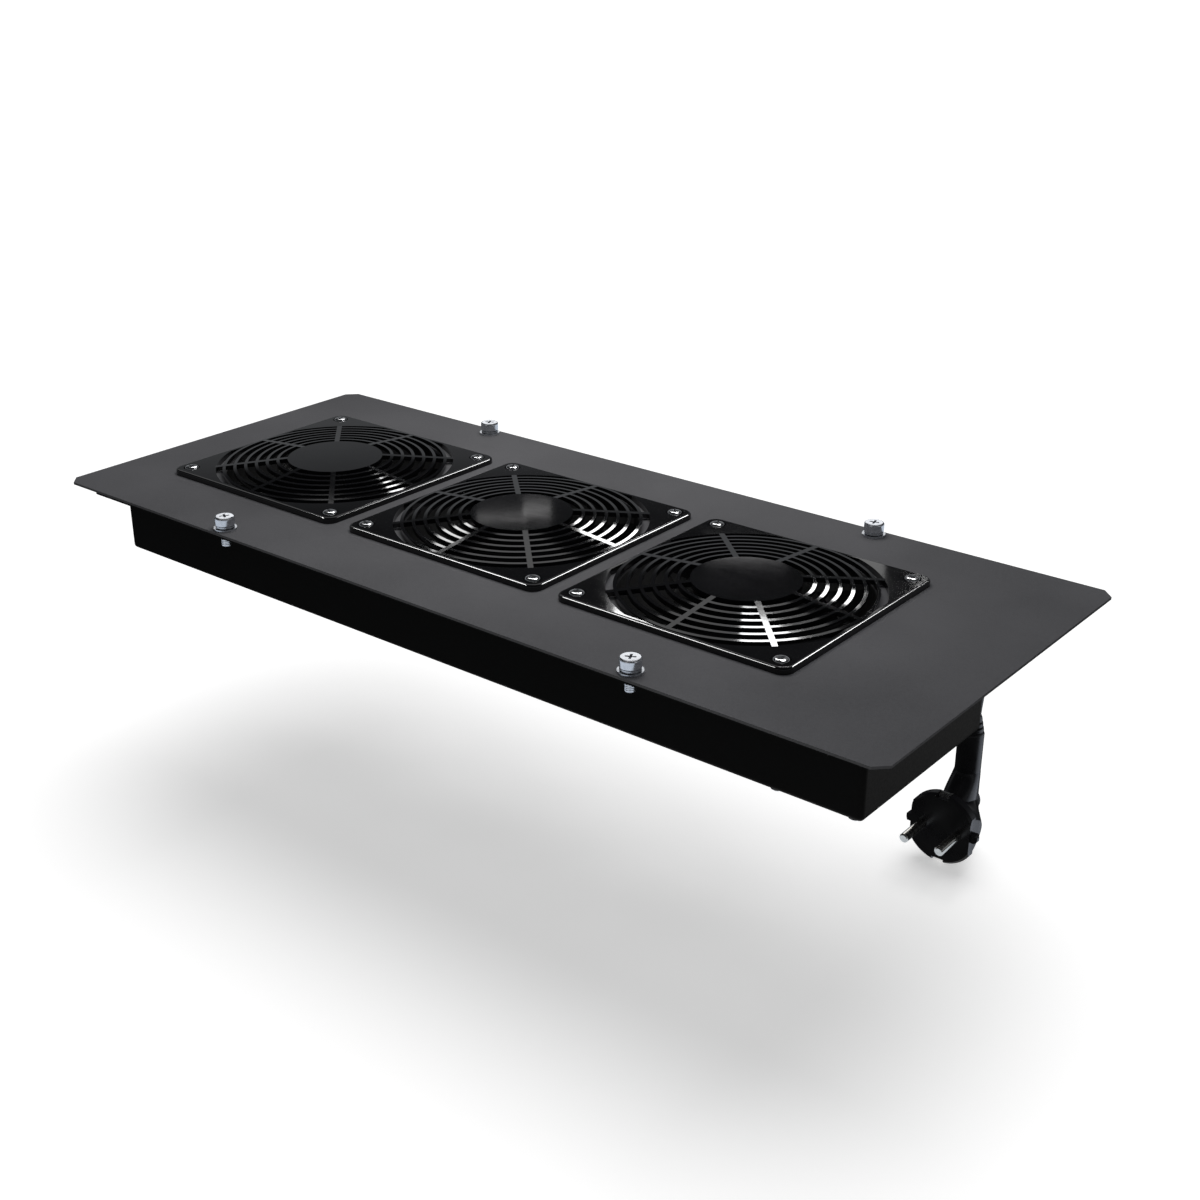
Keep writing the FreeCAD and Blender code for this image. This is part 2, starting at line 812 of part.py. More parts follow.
def make_guard():
    frame = rounded_prism(square(guard_size), guard_corner_radius, plate_top, guard_top)
    rim = [edge for edge in frame.Edges if edge.BoundBox.ZMin > guard_top - touching]
    frame = frame.makeFillet(guard_edge_round, rim)
    half = guard_side_opening
    opening = rod(guard_opening_radius, plate_top - over, guard_top + over)
    opening = opening.common(box(-half, half, -half, half, plate_top - over, guard_top + over))
    disc = rod(guard_disc_radius, disc_top - guard_bar_height, disc_top)
    first = guard_disc_radius + guard_disc_gap
    pitch = (guard_side_opening - first) / (guard_ring_count - 1)
    rings = []
    for index in range(guard_ring_count):
        middle = first + pitch * index
        rings.append(grille_ring(middle - guard_ring_width / 2, middle + guard_ring_width / 2))
    guard = frame.cut(opening).fuse([disc] + rings + guard_spokes())
    cuts = []
    for x, y in corner_places(fan_hole_spacing):
        cuts.append(rod(guard_recess_radius, guard_top - guard_recess_depth, guard_top + over, x, y))
        cuts.append(rod(guard_screw_radius + screw_hole_clearance, plate_top - over, guard_top, x, y))
    return guard.cut(cuts)


def guard_spokes():
    """Bars from the disc to the frame that follow the dome."""
    root = guard_disc_radius - sunk
    half = guard_spoke_width / 2
    spokes = []
    for index in range(guard_spoke_count):
        angle = 360 * index / guard_spoke_count
        diagonal = index * 2 % (guard_spoke_count // 2) != 0
        end = (guard_opening_radius if diagonal else guard_side_opening) + sunk
        side = [
            Vector(root, -half, disc_top), Vector(guard_disc_radius, -half, disc_top),
            Vector(end, -half, grille_top(end)), Vector(end, -half, grille_top(end) - guard_bar_height),
            Vector(root, -half, disc_top - guard_bar_height),
        ]
        spoke = Part.Face(Part.makePolygon(side + side[:1])).extrude(Vector(0, guard_spoke_width, 0))
        spokes.append(turned(spoke, angle))
    return spokes


def make_guard_screws():
    """Screws through guard, plate and fan flange, one at each corner of each guard."""
    seat = guard_top - guard_recess_depth
    tip = fan_top - fan_flange - nut_height - guard_screw_tail
    screw = pan_head_screw(
        guard_screw_head_radius, guard_screw_head_height, guard_screw_radius, seat, tip
    )
    return at_fan_corners(screw)


def make_guard_nuts():
    high = fan_top - fan_flange
    nut = hexagon_nut(nut_across_flats, guard_screw_radius + nut_bore_clearance, high - nut_height, high)
    return at_fan_corners(nut)


def at_fan_corners(fastener):
    """Copies of a fastener at the four corners of every fan."""
    copies = []
    for centre in fan_centres:
        for x, y in corner_places(fan_hole_spacing):
            copies.append(moved(fastener, centre + x, y))
    return Part.makeCompound(copies)


# ---------------------------------------------------------------------------------------
# Wiring compartment
# ---------------------------------------------------------------------------------------

cover_left = fan_right_side + cover_fan_gap
lip_middle = sheet + lip_width / 2


def cover_screw_places():
    """Cover screws, on the middle of the housing's bottom lips."""
    left = cover_left + cover_screw_inset
    right = housing_right - lip_middle
    return [
        (left, -housing_back + lip_middle), (right, -housing_back + lip_middle),
        (right, notch_y - lip_middle), (notch_x - lip_middle, housing_back - lip_middle),
        (left, housing_back - lip_middle),
    ]


def cover_holes():
    radius = cover_screw_radius + cover_screw_clearance
    low = housing_bottom - cover_thickness - over
    return [rod(radius, low, housing_bottom + sheet + over, x, y) for x, y in cover_screw_places()]


def make_wiring_cover():
    """Flat cover under the compartment, with a stiffening rib beside the last fan."""
    low = housing_bottom - cover_thickness
    front = -housing_back + cover_setback
    back = housing_back - cover_setback
    right = housing_right - cover_setback
    outline = [
        (cover_left, front), (right, front), (right, notch_y - cover_setback),
        (notch_x - cover_setback, notch_y - cover_setback), (notch_x - cover_setback, back),
        (cover_left, back),
    ]
    plate = rounded_prism(outline, cover_corner_radius, low, housing_bottom)
    rib_end = housing_back - sheet - lip_width - cover_rib_end_gap
    rib = box(
        cover_left, cover_left + cover_thickness, -rib_end, rib_end,
        low + cover_thickness / 2, housing_bottom + cover_rib_height
    )
    return plate.fuse(rib).removeSplitter().cut(cover_holes())


def make_cover_screws():
    seat = housing_bottom - cover_thickness
    screw = pan_head_screw(
        cover_screw_head_radius, cover_screw_head_height, cover_screw_radius, 0, -cover_screw_length
    )
    screw.rotate(Vector(0, 0, 0), Vector(1, 0, 0), 180)
    return Part.makeCompound([moved(screw, x, y, seat) for x, y in cover_screw_places()])


def terminal_pole_places():
    first = terminal_x - (terminal_poles - 1) / 2 * terminal_pitch
    return [first + index * terminal_pitch for index in range(terminal_poles)]


def terminal_stud_places():
    reach = (terminal_poles - 1) / 2 * terminal_pitch + terminal_pitch / 2 + terminal_end / 2
    return [terminal_x - reach, terminal_x + reach]


def terminal_screw_rows():
    """The two rows of clamp screws, a quarter of the block's depth from its ends."""
    return [terminal_y - terminal_depth / 4, terminal_y + terminal_depth / 4]


def make_terminal_block():
    """Terminal strip: a stepped block with screw wells above and wire entries at the sides."""
    reach = (terminal_poles - 1) / 2 * terminal_pitch + terminal_pitch / 2
    front = terminal_y - terminal_depth / 2
    back = terminal_y + terminal_depth / 2
    low = plate_bottom - terminal_height
    body = box(terminal_x - reach, terminal_x + reach, front, back, low, plate_bottom)
    foot_low = plate_bottom - terminal_foot_height
    foot = box(
        terminal_x - reach - terminal_end, terminal_x + reach + terminal_end,
        front + terminal_foot_setback, back - terminal_foot_setback, foot_low, plate_bottom
    )
    block = body.fuse(foot).removeSplitter()
    cuts = []
    for x in terminal_pole_places():
        for y in terminal_screw_rows():
            well_radius = terminal_screw_radius + terminal_well_clearance
            cuts.append(rod(well_radius, low - over, low + terminal_well_depth, x, y))
    hole_radius = stud_radius + screw_hole_clearance
    for x in terminal_stud_places():
        cuts.append(rod(hole_radius, foot_low - over, plate_bottom + over, x, terminal_y))
    return block.cut(cuts)


def make_terminal_screws():
    """Clamp screws at the bottom of their wells."""
    high = plate_bottom - terminal_height + terminal_well_depth
    low = high - terminal_screw_length
    copies = []
    for x in terminal_pole_places():
        for y in terminal_screw_rows():
            copies.append(rod(terminal_screw_radius, low, high, x, y))
    return Part.makeCompound(copies)


def make_weld_studs():
    """Threaded studs welded under the plate: two for the terminals and one for earth."""
    studs = []
    for x in terminal_stud_places():
        studs.append(rod(stud_radius, plate_bottom - stud_length, plate_bottom, x, terminal_y))
    studs.append(rod(earth_stud_radius, plate_bottom - earth_stud_length, plate_bottom, earth_x, earth_y))
    return Part.makeCompound(studs)


def make_stud_nuts():
    terminal_seat = plate_bottom - terminal_foot_height
    terminal_nut = hexagon_nut(
        stud_nut_across_flats, stud_radius + nut_bore_clearance,
        terminal_seat - stud_nut_height, terminal_seat
    )
    nuts = [moved(terminal_nut, x, terminal_y) for x in terminal_stud_places()]
    lock_nut = hexagon_nut(nut_across_flats, earth_stud_radius + nut_bore_clearance, 0, nut_height)
    lug_high = plate_bottom - nut_height
    nuts.append(moved(lock_nut, earth_x, earth_y, lug_high))
    nuts.append(moved(lock_nut, earth_x, earth_y, lug_high - lug_thickness - nut_height))
    return Part.makeCompound(nuts)


def make_earth_lug():
    """Ring lug between the two earth nuts, crimped on the earth core."""
    high = plate_bottom - nut_height
    low = high - lug_thickness
    eye = rod(lug_radius, low, high, earth_x, earth_y)
    half_tail = lug_tail_width / 2
    tail_end = earth_y + lug_tail_length
    tail = box(earth_x - half_tail, earth_x + half_tail, earth_y, tail_end, low, high)
    eye = eye.fuse(tail).removeSplitter()
    bore_radius = earth_stud_radius + lug_bore_clearance
    eye = eye.cut(rod(bore_radius, low - over, high + over, earth_x, earth_y))
    barrel_start = Vector(earth_x, tail_end, low + lug_barrel_rise)
    barrel = Part.makeCylinder(lug_barrel_radius, lug_barrel_length, barrel_start, Vector(0, 1, 0))
    return eye.fuse(barrel)


def make_mains_cores():
    """Live and neutral to the terminals and earth to its lug, fanned out from the bushing."""
    start_y = housing_back - sheet - bushing_inside
    back = terminal_y + terminal_depth / 2
    entry_z = plate_bottom - terminal_entry_drop
    lug_end = Vector(
        earth_x, earth_y + lug_tail_length + lug_barrel_length,
        plate_bottom - nut_height - lug_thickness + lug_barrel_rise
    )
    ends = [
        Vector(terminal_pole_places()[0], back, entry_z),
        Vector(terminal_pole_places()[1], back, entry_z),
        lug_end,
    ]
    cores = []
    for index, end in enumerate(ends):
        start = Vector(bushing_x + (index - 1) * core_spacing, start_y, bushing_z)
        straight = Vector(0, core_straight_share * (start.y - end.y), 0)
        route = [start, start - straight, end + straight, end]
        cores.append(tube_along(route, core_radius, "core " + str(index + 1)))
    return Part.makeCompound(cores)


def make_fan_plug():
    """Moulded connector pushed on the fan's two blades, at the middle of its front side."""
    half_width = fan_plug_width / 2
    centre_z = -fan_plug_drop
    y_high = -fan_size / 2
    plug = box(-half_width, half_width, y_high - fan_plug_depth, y_high,
               centre_z - fan_plug_height / 2, centre_z + fan_plug_height / 2)
    edges = [edge for edge in plug.Edges if edge.BoundBox.YMax < y_high - fan_plug_depth / 2]
    return plug.makeFillet(fan_plug_round, edges)


def lead_height(index):
    """Height of a fan's lead in the clips; the first fan's lies highest."""
    return lead_start_z + lead_spacing * (1 - index)


def make_fan_lead(index):
    """Lead from a fan's plug, along the front wall in the clips, to the terminals."""
    start_x = fan_centres[index] + fan_plug_width / 2
    start_y = -fan_size / 2 - fan_plug_depth / 2
    end_x = terminal_pole_places()[-1 - index]
    height = lead_height(index)
    entry_z = plate_bottom - terminal_entry_drop
    front = terminal_y - terminal_depth / 2
    route = [
        Vector(start_x, start_y, lead_start_z),
        Vector(start_x + lead_straight, start_y, lead_start_z),
        Vector(start_x + lead_turn, lead_y, height),
        Vector(end_x, lead_y, height),
        Vector(end_x, front - lead_entry_straight, entry_z),
        Vector(end_x, front, entry_z),
    ]
    return tube_along(route, lead_radius, "fan lead " + str(index + 1))


def make_lead_clips():
    """Clips stuck on the front wall, with one eye for each lead."""
    wall = -housing_back + sheet
    y_high = lead_y + lead_radius + clip_margin
    z_high = lead_height(0) + lead_radius + clip_margin
    z_low = lead_height(fan_count - 1) - lead_radius - clip_margin
    clips = []
    for centre in fan_centres:
        x = centre + clip_offset
        clip = box(x, x + clip_width, wall, y_high, z_low, z_high)
        eyes = []
        for index in range(fan_count):
            start = Vector(x - over, lead_y, lead_height(index))
            eyes.append(Part.makeCylinder(
                lead_radius + clip_clearance, clip_width + 2 * over, start, Vector(1, 0, 0)
            ))
        clips.append(clip.cut(eyes))
    return Part.makeCompound(clips)


# ---------------------------------------------------------------------------------------
# Bushing, cord and plug
# ---------------------------------------------------------------------------------------

def make_bushing():
    """Snap-in strain relief in the back wall, round the cord."""
    wall_out = housing_back
    wall_in = housing_back - sheet
    barb_radius = bushing_body_radius + bushing_barb
    end = wall_in - bushing_inside
    collar_end = wall_out + bushing_collar
    profile = [
        (0, end), (bushing_body_radius - bushing_end_chamfer, end),
        (barb_radius, wall_in - bushing_barb_length), (barb_radius, wall_in),
        (bushing_body_radius, wall_in), (bushing_body_radius, wall_out),
        (bushing_radius, wall_out), (bushing_radius, wall_out + bushing_collar_side),
        (bushing_radius - bushing_collar_chamfer, collar_end),
        (bushing_nose_radius + bushing_nose_taper, collar_end),
        (bushing_nose_radius, cord_start.y), (0, cord_start.y),
    ]
    return revolved(profile, Vector(bushing_x, 0, bushing_z), along_y=True)


def make_plug_body():
    """Round plug face with flat, ribbed sides, a tapering back, and a handle up to the neck."""
    rim_back = plug_face_y + plug_rim
    disc = revolved([
        (0, plug_face_y), (plug_radius - plug_edge_round, plug_face_y),
        (plug_radius, plug_face_y + plug_edge_round), (plug_radius, rim_back), (0, rim_back),
    ], along_y=True)
    ovals = []
    for behind, rise, half_width, half_height in plug_back_sections:
        centre = Vector(0, rim_back + behind, rise)
        ovals.append(oval(centre, Vector(half_width, 0, 0), Vector(0, 0, half_height)))
    body = disc.fuse(Part.makeLoft(ovals, True))
    end = rim_back + plug_back_sections[-1][0] + over
    body = body.common(box(
        -plug_flat, plug_flat, plug_face_y - over, end, -plug_radius - over, plug_radius + over
    ))
    half_rib = plug_rib_height / 2
    rib = box(
        plug_flat - over, plug_rib_reach, plug_face_y + plug_rib_setback, rim_back, -half_rib, half_rib
    )
    rib = rib.makeChamfer(plug_rib_chamfer, [edge for edge in rib.Edges if edge.BoundBox.XMin > plug_flat])
    half_slot = earth_clip_width / 2 + earth_clip_side_gap
    slot = box(
        -half_slot, half_slot, plug_face_y - over, rim_back, earth_clip_floor, plug_radius + over
    )
    body = body.fuse([rib, turned_about_y(rib, 180)]).cut([slot, turned_about_y(slot, 180)])
    body.translate(Vector(plug_x, 0, plug_centre_z))
    return body.fuse(plug_handle())


def oval(centre, longer, shorter):
    """Closed oval with two perpendicular half-axes."""
    return Part.Wire(Part.Ellipse(centre + longer, centre + shorter, centre).toShape())


def turned_about_y(shape, angle):
    """Copy of a shape turned about the Y axis."""
    copy = shape.copy()
    copy.rotate(Vector(0, 0, 0), Vector(0, 1, 0), angle)
    return copy


def plug_handle():
    """Loft through upright ovals: from the neck down into the swelling behind the face."""
    back = plug_neck_y + neck_radius
    sections = []
    for drop, reach, half_width in plug_handle_sections:
        front = plug_neck_y - reach
        centre = Vector(plug_x, (back + front) / 2, neck_top_z - neck_length - drop)
        half_depth = (back - front) / 2
        sections.append(oval(centre, Vector(0, half_depth, 0), Vector(half_width, 0, 0)))
    return Part.makeLoft(sections, True)


def make_plug_neck():
    """Smooth sleeve between the handle and the cord."""
    bottom = neck_top_z - neck_length
    return revolved([
        (0, bottom), (neck_radius, bottom), (neck_radius, neck_top_z - neck_edge_chamfer),
        (neck_radius - neck_edge_chamfer, neck_top_z), (0, neck_top_z),
    ], Vector(plug_x, plug_neck_y, 0))


def make_plug_pins():
    """Two round pins with chamfered tips."""
    tip_y = plug_face_y - pin_length
    pin = revolved([
        (0, plug_face_y), (pin_radius, plug_face_y), (pin_radius, tip_y + pin_chamfer),
        (pin_radius - pin_chamfer, tip_y), (0, tip_y),
    ], Vector(plug_x, 0, plug_centre_z), along_y=True)
    half = pin_spacing / 2
    return Part.makeCompound([moved(pin, -half), moved(pin, half)])


def make_earth_clips():
    """Spring contacts let into the top and the bottom of the plug's rim."""
    front = plug_face_y + earth_clip_setback
    back = plug_face_y + plug_rim
    crown = earth_clip_floor + earth_clip_rise
    side = [
        Vector(0, front, earth_clip_floor), Vector(0, back, earth_clip_floor),
        Vector(0, back, crown), Vector(0, front + earth_clip_ramp, crown),
        Vector(0, front, crown - earth_clip_nose),
    ]
    clip = Part.Face(Part.makePolygon(side + side[:1])).extrude(Vector(earth_clip_width, 0, 0))
    clip.translate(Vector(-earth_clip_width / 2, 0, 0))
    top = moved(clip, plug_x, 0, plug_centre_z)
    bottom = moved(turned_about_y(clip, 180), plug_x, 0, plug_centre_z)
    return Part.makeCompound([top, bottom])


# ---------------------------------------------------------------------------------------
# Export, one file for each sub-part
# ---------------------------------------------------------------------------------------

def export(name, shape):
    if not shape.isValid():
        print("INVALID", name)
    print(name, "solids", len(shape.Solids), "volume", round(shape.Volume))
    shape.exportStep("parts/" + name + ".step")


def main():
    os.makedirs("parts", exist_ok=True)
    export("top_plate", make_top_plate())
    export("housing", make_housing())
    export("mounting_screws", make_mounting_screws())
    export("flat_washers", make_flat_washers())
    export("spring_washers", make_spring_washers())
    fan_pieces = {
        "fan_frame": make_fan_frame(),
        "motor_base": make_motor_base(),
        "stator": make_stator(),
        "motor_coils": make_coils(),
        "bearings": make_bearings(),
        "fan_plug": make_fan_plug(),
        "impeller": make_impeller(),
        "rotor_ring": make_rotor_ring(),
        "rotor_shaft": make_shaft(),
    }
    guard = make_guard()
    for index, centre in enumerate(fan_centres):
        number = "_" + str(index + 1)
        for name, shape in fan_pieces.items():
            export(name + number, moved(shape, centre, 0, fan_top))
        export("guard" + number, moved(guard, centre))
        export("fan_lead" + number, make_fan_lead(index))
    export("guard_screws", make_guard_screws())
    export("guard_nuts", make_guard_nuts())
    export("wiring_cover", make_wiring_cover())
    export("cover_screws", make_cover_screws())
    export("terminal_block", make_terminal_block())
    export("terminal_screws", make_terminal_screws())
    export("weld_studs", make_weld_studs())
    export("stud_nuts", make_stud_nuts())
    export("earth_lug", make_earth_lug())
    export("mains_cores", make_mains_cores())
    export("lead_clips", make_lead_clips())
    export("strain_relief", make_bushing())
    export("power_cord", tube_along(cord_route, cord_radius, "cord"))
    export("plug_body", make_plug_body())
    export("plug_neck", make_plug_neck())
    export("plug_pins", make_plug_pins())
    export("plug_earth_clips", make_earth_clips())


main()
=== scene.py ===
import json
import math
import random

import bmesh
import bpy
from mathutils import Matrix, Vector


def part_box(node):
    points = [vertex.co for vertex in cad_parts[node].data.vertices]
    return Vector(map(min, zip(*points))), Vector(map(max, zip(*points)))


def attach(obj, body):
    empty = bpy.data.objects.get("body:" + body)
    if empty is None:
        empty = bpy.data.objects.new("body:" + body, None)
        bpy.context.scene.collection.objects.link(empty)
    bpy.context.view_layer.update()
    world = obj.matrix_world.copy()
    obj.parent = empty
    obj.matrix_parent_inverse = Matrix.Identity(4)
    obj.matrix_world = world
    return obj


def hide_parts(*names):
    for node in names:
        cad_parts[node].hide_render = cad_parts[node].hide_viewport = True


# Rack fan tray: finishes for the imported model, its fine fasteners, its mains cord, and the
# studio. Metres in the model's own frame: +X to the wiring end, +Y to the back, +Z up.

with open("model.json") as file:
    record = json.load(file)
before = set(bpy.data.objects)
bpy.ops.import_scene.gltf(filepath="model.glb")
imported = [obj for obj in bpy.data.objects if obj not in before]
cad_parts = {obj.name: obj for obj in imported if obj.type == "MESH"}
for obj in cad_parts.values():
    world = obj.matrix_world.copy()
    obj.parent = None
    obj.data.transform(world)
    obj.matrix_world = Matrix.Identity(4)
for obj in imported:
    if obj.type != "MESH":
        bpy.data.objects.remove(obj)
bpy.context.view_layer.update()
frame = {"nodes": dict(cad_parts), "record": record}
nodes = frame["nodes"]
scene = bpy.context.scene
FANS = (1, 2, 3)
MM = 0.001


# ---------------------------------------------------------------------------------------
# Camera
# ---------------------------------------------------------------------------------------

# Azimuth 0 looks along +Y; the elevation is how far the camera looks down
CAMERA_PLACE = Vector((0.4820, -0.5586, 0.2930))
CAMERA_AZIMUTH = math.radians(38.87)
CAMERA_ELEVATION = math.radians(23.85)
LENS = 50.0
SENSOR = 36.0
NEAREST = 0.02
FARTHEST = 60.0

camera_data = bpy.data.cameras.new("camera")
camera_data.lens = LENS
camera_data.sensor_width = SENSOR
camera_data.clip_start = NEAREST
camera_data.clip_end = FARTHEST
camera = bpy.data.objects.new("camera", camera_data)
scene.collection.objects.link(camera)
camera_back = Vector((
    math.sin(CAMERA_AZIMUTH) * math.cos(CAMERA_ELEVATION),
    -math.cos(CAMERA_AZIMUTH) * math.cos(CAMERA_ELEVATION),
    math.sin(CAMERA_ELEVATION),
))
camera.location = CAMERA_PLACE
camera.rotation_mode = "QUATERNION"
camera.rotation_quaternion = (-camera_back).to_track_quat("-Z", "Y")
scene.camera = camera


# ---------------------------------------------------------------------------------------
# Cord: it leaves the bushing, falls behind the end wall and ends in the hanging plug
# ---------------------------------------------------------------------------------------

CORD_RADIUS = 0.0035
CORD_POINTS = [
    (0.1820, 0.0860, -0.0184),
    (0.1820, 0.0985, -0.0184),
    (0.1810, 0.1095, -0.0242),
    (0.1788, 0.1165, -0.0360),
    (0.1754, 0.1183, -0.0534),
    (0.1720, 0.1153, -0.0795),
    (0.1720, 0.1153, -0.1047),
]
CURVE_STEPS = 16
ROUNDNESS = 8


def nurbs_line(name, points, radius):
    """Round tube on an open NURBS curve of order 3 that starts and ends on its end points.

    The points carry the radius and the bevel is 1, so that the curve's box is the tube's.
    """
    data = bpy.data.curves.new(name, "CURVE")
    data.dimensions = "3D"
    spline = data.splines.new("NURBS")
    spline.points.add(len(points) - 1)
    for place, point in zip(spline.points, points):
        place.co = (*point, 1.0)
        place.radius = radius
    spline.order_u = 3
    spline.use_endpoint_u = True
    spline.resolution_u = CURVE_STEPS
    data.resolution_u = CURVE_STEPS
    data.bevel_depth = 1.0
    data.bevel_resolution = ROUNDNESS
    data.use_fill_caps = True
    line = bpy.data.objects.new(name, data)
    scene.collection.objects.link(line)
    return line


cord = nurbs_line("flex", CORD_POINTS, CORD_RADIUS)


# ---------------------------------------------------------------------------------------
# Making turned pieces: screws with cross recesses and rolled threads, and ribbed sleeves
# ---------------------------------------------------------------------------------------

# Facets round a turned piece, rows in one turn of a thread, rows of a head's shoulder
SEGMENTS = 72
THREAD_STEPS = 10
SHOULDER_STEPS = 10
NO_THREAD = (0.0, 0.0, 1.0, 0.0)
SHARP_ANGLE = math.radians(30)
ON_AXIS = 1e-9
# Shares of a head's height and of a recess's reach and depth
HEAD_CHAMFER_SHARE = 0.06
RECESS_TAPER = 0.55
CUTTER_ABOVE = 0.2


def turned(profile, thread=NO_THREAD):
    """Mesh turned about Z from (radius, height) corners, top first, on the axis at both ends.

    The thread is (low, high, pitch, depth): a helical groove in the side between two heights.
    """
    low, high, pitch, depth = thread
    rows = [profile[0]]
    for (r0, z0), (r1, z1) in zip(profile, profile[1:]):
        steps = 1
        if r0 == r1 and low <= z1 < z0 <= high:
            steps = max(1, round((z0 - z1) / pitch * THREAD_STEPS))
        for step in range(1, steps + 1):
            share = step / steps
            rows.append((r0 + share * (r1 - r0), z0 + share * (z1 - z0)))
    mesh = bmesh.new()
    rings = []
    for radius, height in rows:
        if radius < ON_AXIS:
            rings.append([mesh.verts.new((0, 0, height))])
            continue
        ring = []
        for index in range(SEGMENTS):
            angle = 2 * math.pi * index / SEGMENTS
            across = radius
            if low <= height <= high:
                turn = (height / pitch - index / SEGMENTS) % 1.0
                across = radius - depth * (1 - abs(2 * turn - 1))
            corner = (across * math.cos(angle), across * math.sin(angle), height)
            ring.append(mesh.verts.new(corner))
        rings.append(ring)
    for upper, lower in zip(rings, rings[1:]):
        for index in range(SEGMENTS):
            following = (index + 1) % SEGMENTS
            if len(upper) == 1:
                mesh.faces.new((upper[0], lower[index], lower[following]))
            elif len(lower) == 1:
                mesh.faces.new((upper[index], lower[0], upper[following]))
            else:
                mesh.faces.new((upper[index], lower[index], lower[following], upper[following]))
    bmesh.ops.recalc_face_normals(mesh, faces=mesh.faces)
    return mesh


def smooth(data):
    """Shades a mesh smooth except at its corners."""
    data.shade_smooth()
    data.set_sharp_from_angle(angle=SHARP_ANGLE)


def as_object(name, mesh):
    """Object from a bmesh, smooth except at its corners."""
    data = bpy.data.meshes.new(name)
    mesh.to_mesh(data)
    mesh.free()
    smooth(data)
    made = bpy.data.objects.new(name, data)
    scene.collection.objects.link(made)
    return made


def cross_cutter(reach, half_width, top, low):
    """Tapered cross that cuts a screwdriver's recess, from a little above top down to low."""
    corners = [
        (half_width, reach), (-half_width, reach), (-half_width, half_width), (-reach, half_width),
        (-reach, -half_width), (-half_width, -half_width), (-half_width, -reach),
        (half_width, -reach), (half_width, -half_width), (reach, -half_width),
        (reach, half_width), (half_width, half_width),
    ]
    mesh = bmesh.new()
    above = top + CUTTER_ABOVE * (top - low)
    upper = [mesh.verts.new((x, y, above)) for x, y in corners]
    lower = []
    for x, y in corners:
        lower.append(mesh.verts.new((
            x if abs(x) < reach else RECESS_TAPER * x,
            y if abs(y) < reach else RECESS_TAPER * y,
            low,
        )))
    mesh.faces.new(upper)
    mesh.faces.new(list(reversed(lower)))
    for index in range(len(corners)):
        following = (index + 1) % len(corners)
        mesh.faces.new((upper[index], lower[index], lower[following], upper[following]))
    bmesh.ops.recalc_face_normals(mesh, faces=mesh.faces)
    return mesh


def cut_away(piece, cutter):
    """Cuts one object out of another, for good, and removes the cutter."""
    difference = piece.modifiers.new("recess", "BOOLEAN")
    difference.operation = "DIFFERENCE"
    difference.solver = "EXACT"
    difference.object = cutter
    bpy.context.view_layer.update()
    evaluated = piece.evaluated_get(bpy.context.evaluated_depsgraph_get())
    data = bpy.data.meshes.new_from_object(evaluated)
    piece.modifiers.clear()
    piece.data = data
    smooth(data)
    bpy.data.objects.remove(cutter)


def screw_profile(radius, seat, top, shank, thread_top, tip, tip_chamfer, flat_share, side_share):
    """Pan head with a flat top, rolled shoulder and straight side, then the shank and its tip."""
    under = HEAD_CHAMFER_SHARE * (top - seat)
    flat = flat_share * radius
    side_top = seat + side_share * (top - seat)
    profile = [(0.0, top), (flat, top)]
    for step in range(1, SHOULDER_STEPS):
        angle = step / SHOULDER_STEPS * math.pi / 2
        across = flat + (radius - flat) * math.sin(angle)
        height = side_top + (top - side_top) * math.cos(angle)
        profile.append((across, height))
    profile += [
        (radius, side_top), (radius, seat + under), (radius - under, seat), (shank, seat),
        (shank, thread_top), (shank, tip + tip_chamfer), (shank - tip_chamfer, tip), (0.0, tip),
    ]
    return profile


def cross_screw(name, profile, thread, recess):
    """Screw turned from its profile and thread, with a recess of (reach, half width, depth)."""
    piece = as_object(name, turned(profile, thread))
    reach, half_width, depth = recess
    top = profile[0][1]
    cut_away(piece, as_object("cutter", cross_cutter(reach, half_width, top, top - depth)))
    return piece


def place_copies(master, name, places, turns, body, node):
    """Puts the master and linked copies of it at the places, to stand for a CAD node."""
    made = []
    for number, (place, turn) in enumerate(zip(places, turns), 1):
        piece = master
        if number > 1:
            piece = bpy.data.objects.new(f"{name}_{number}", master.data)
            scene.collection.objects.link(piece)
        piece.location = place
        piece.rotation_euler = (0, 0, turn)
        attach(piece, body)
        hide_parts(node)
        made.append(piece)
    return made


# ---------------------------------------------------------------------------------------
# The plug's moulded sleeve: its neck, drawn out along the cord in shallow ribs
# ---------------------------------------------------------------------------------------

SLEEVE_RADIUS = 6.4 * MM
SLEEVE_REACH = 19 * MM
SLEEVE_MOUTH = 4.1 * MM
SLEEVE_SHOULDER = 9.0 * MM
SLEEVE_CHAMFER_IN = 0.3 * MM
SLEEVE_CHAMFER_DOWN = 0.8 * MM
RIB_COUNT = 3
RIB_START = 1.2 * MM
RIB_PITCH = 2.6 * MM
RIB_RADIUS = 4.6 * MM
RIB_GROWTH = 0.55 * MM
RIB_FLARE = 0.25 * MM
RIB_HEIGHT = 1.5 * MM
GROOVE_DEPTH = 0.2 * MM
GROOVE_HEIGHT = 0.4 * MM

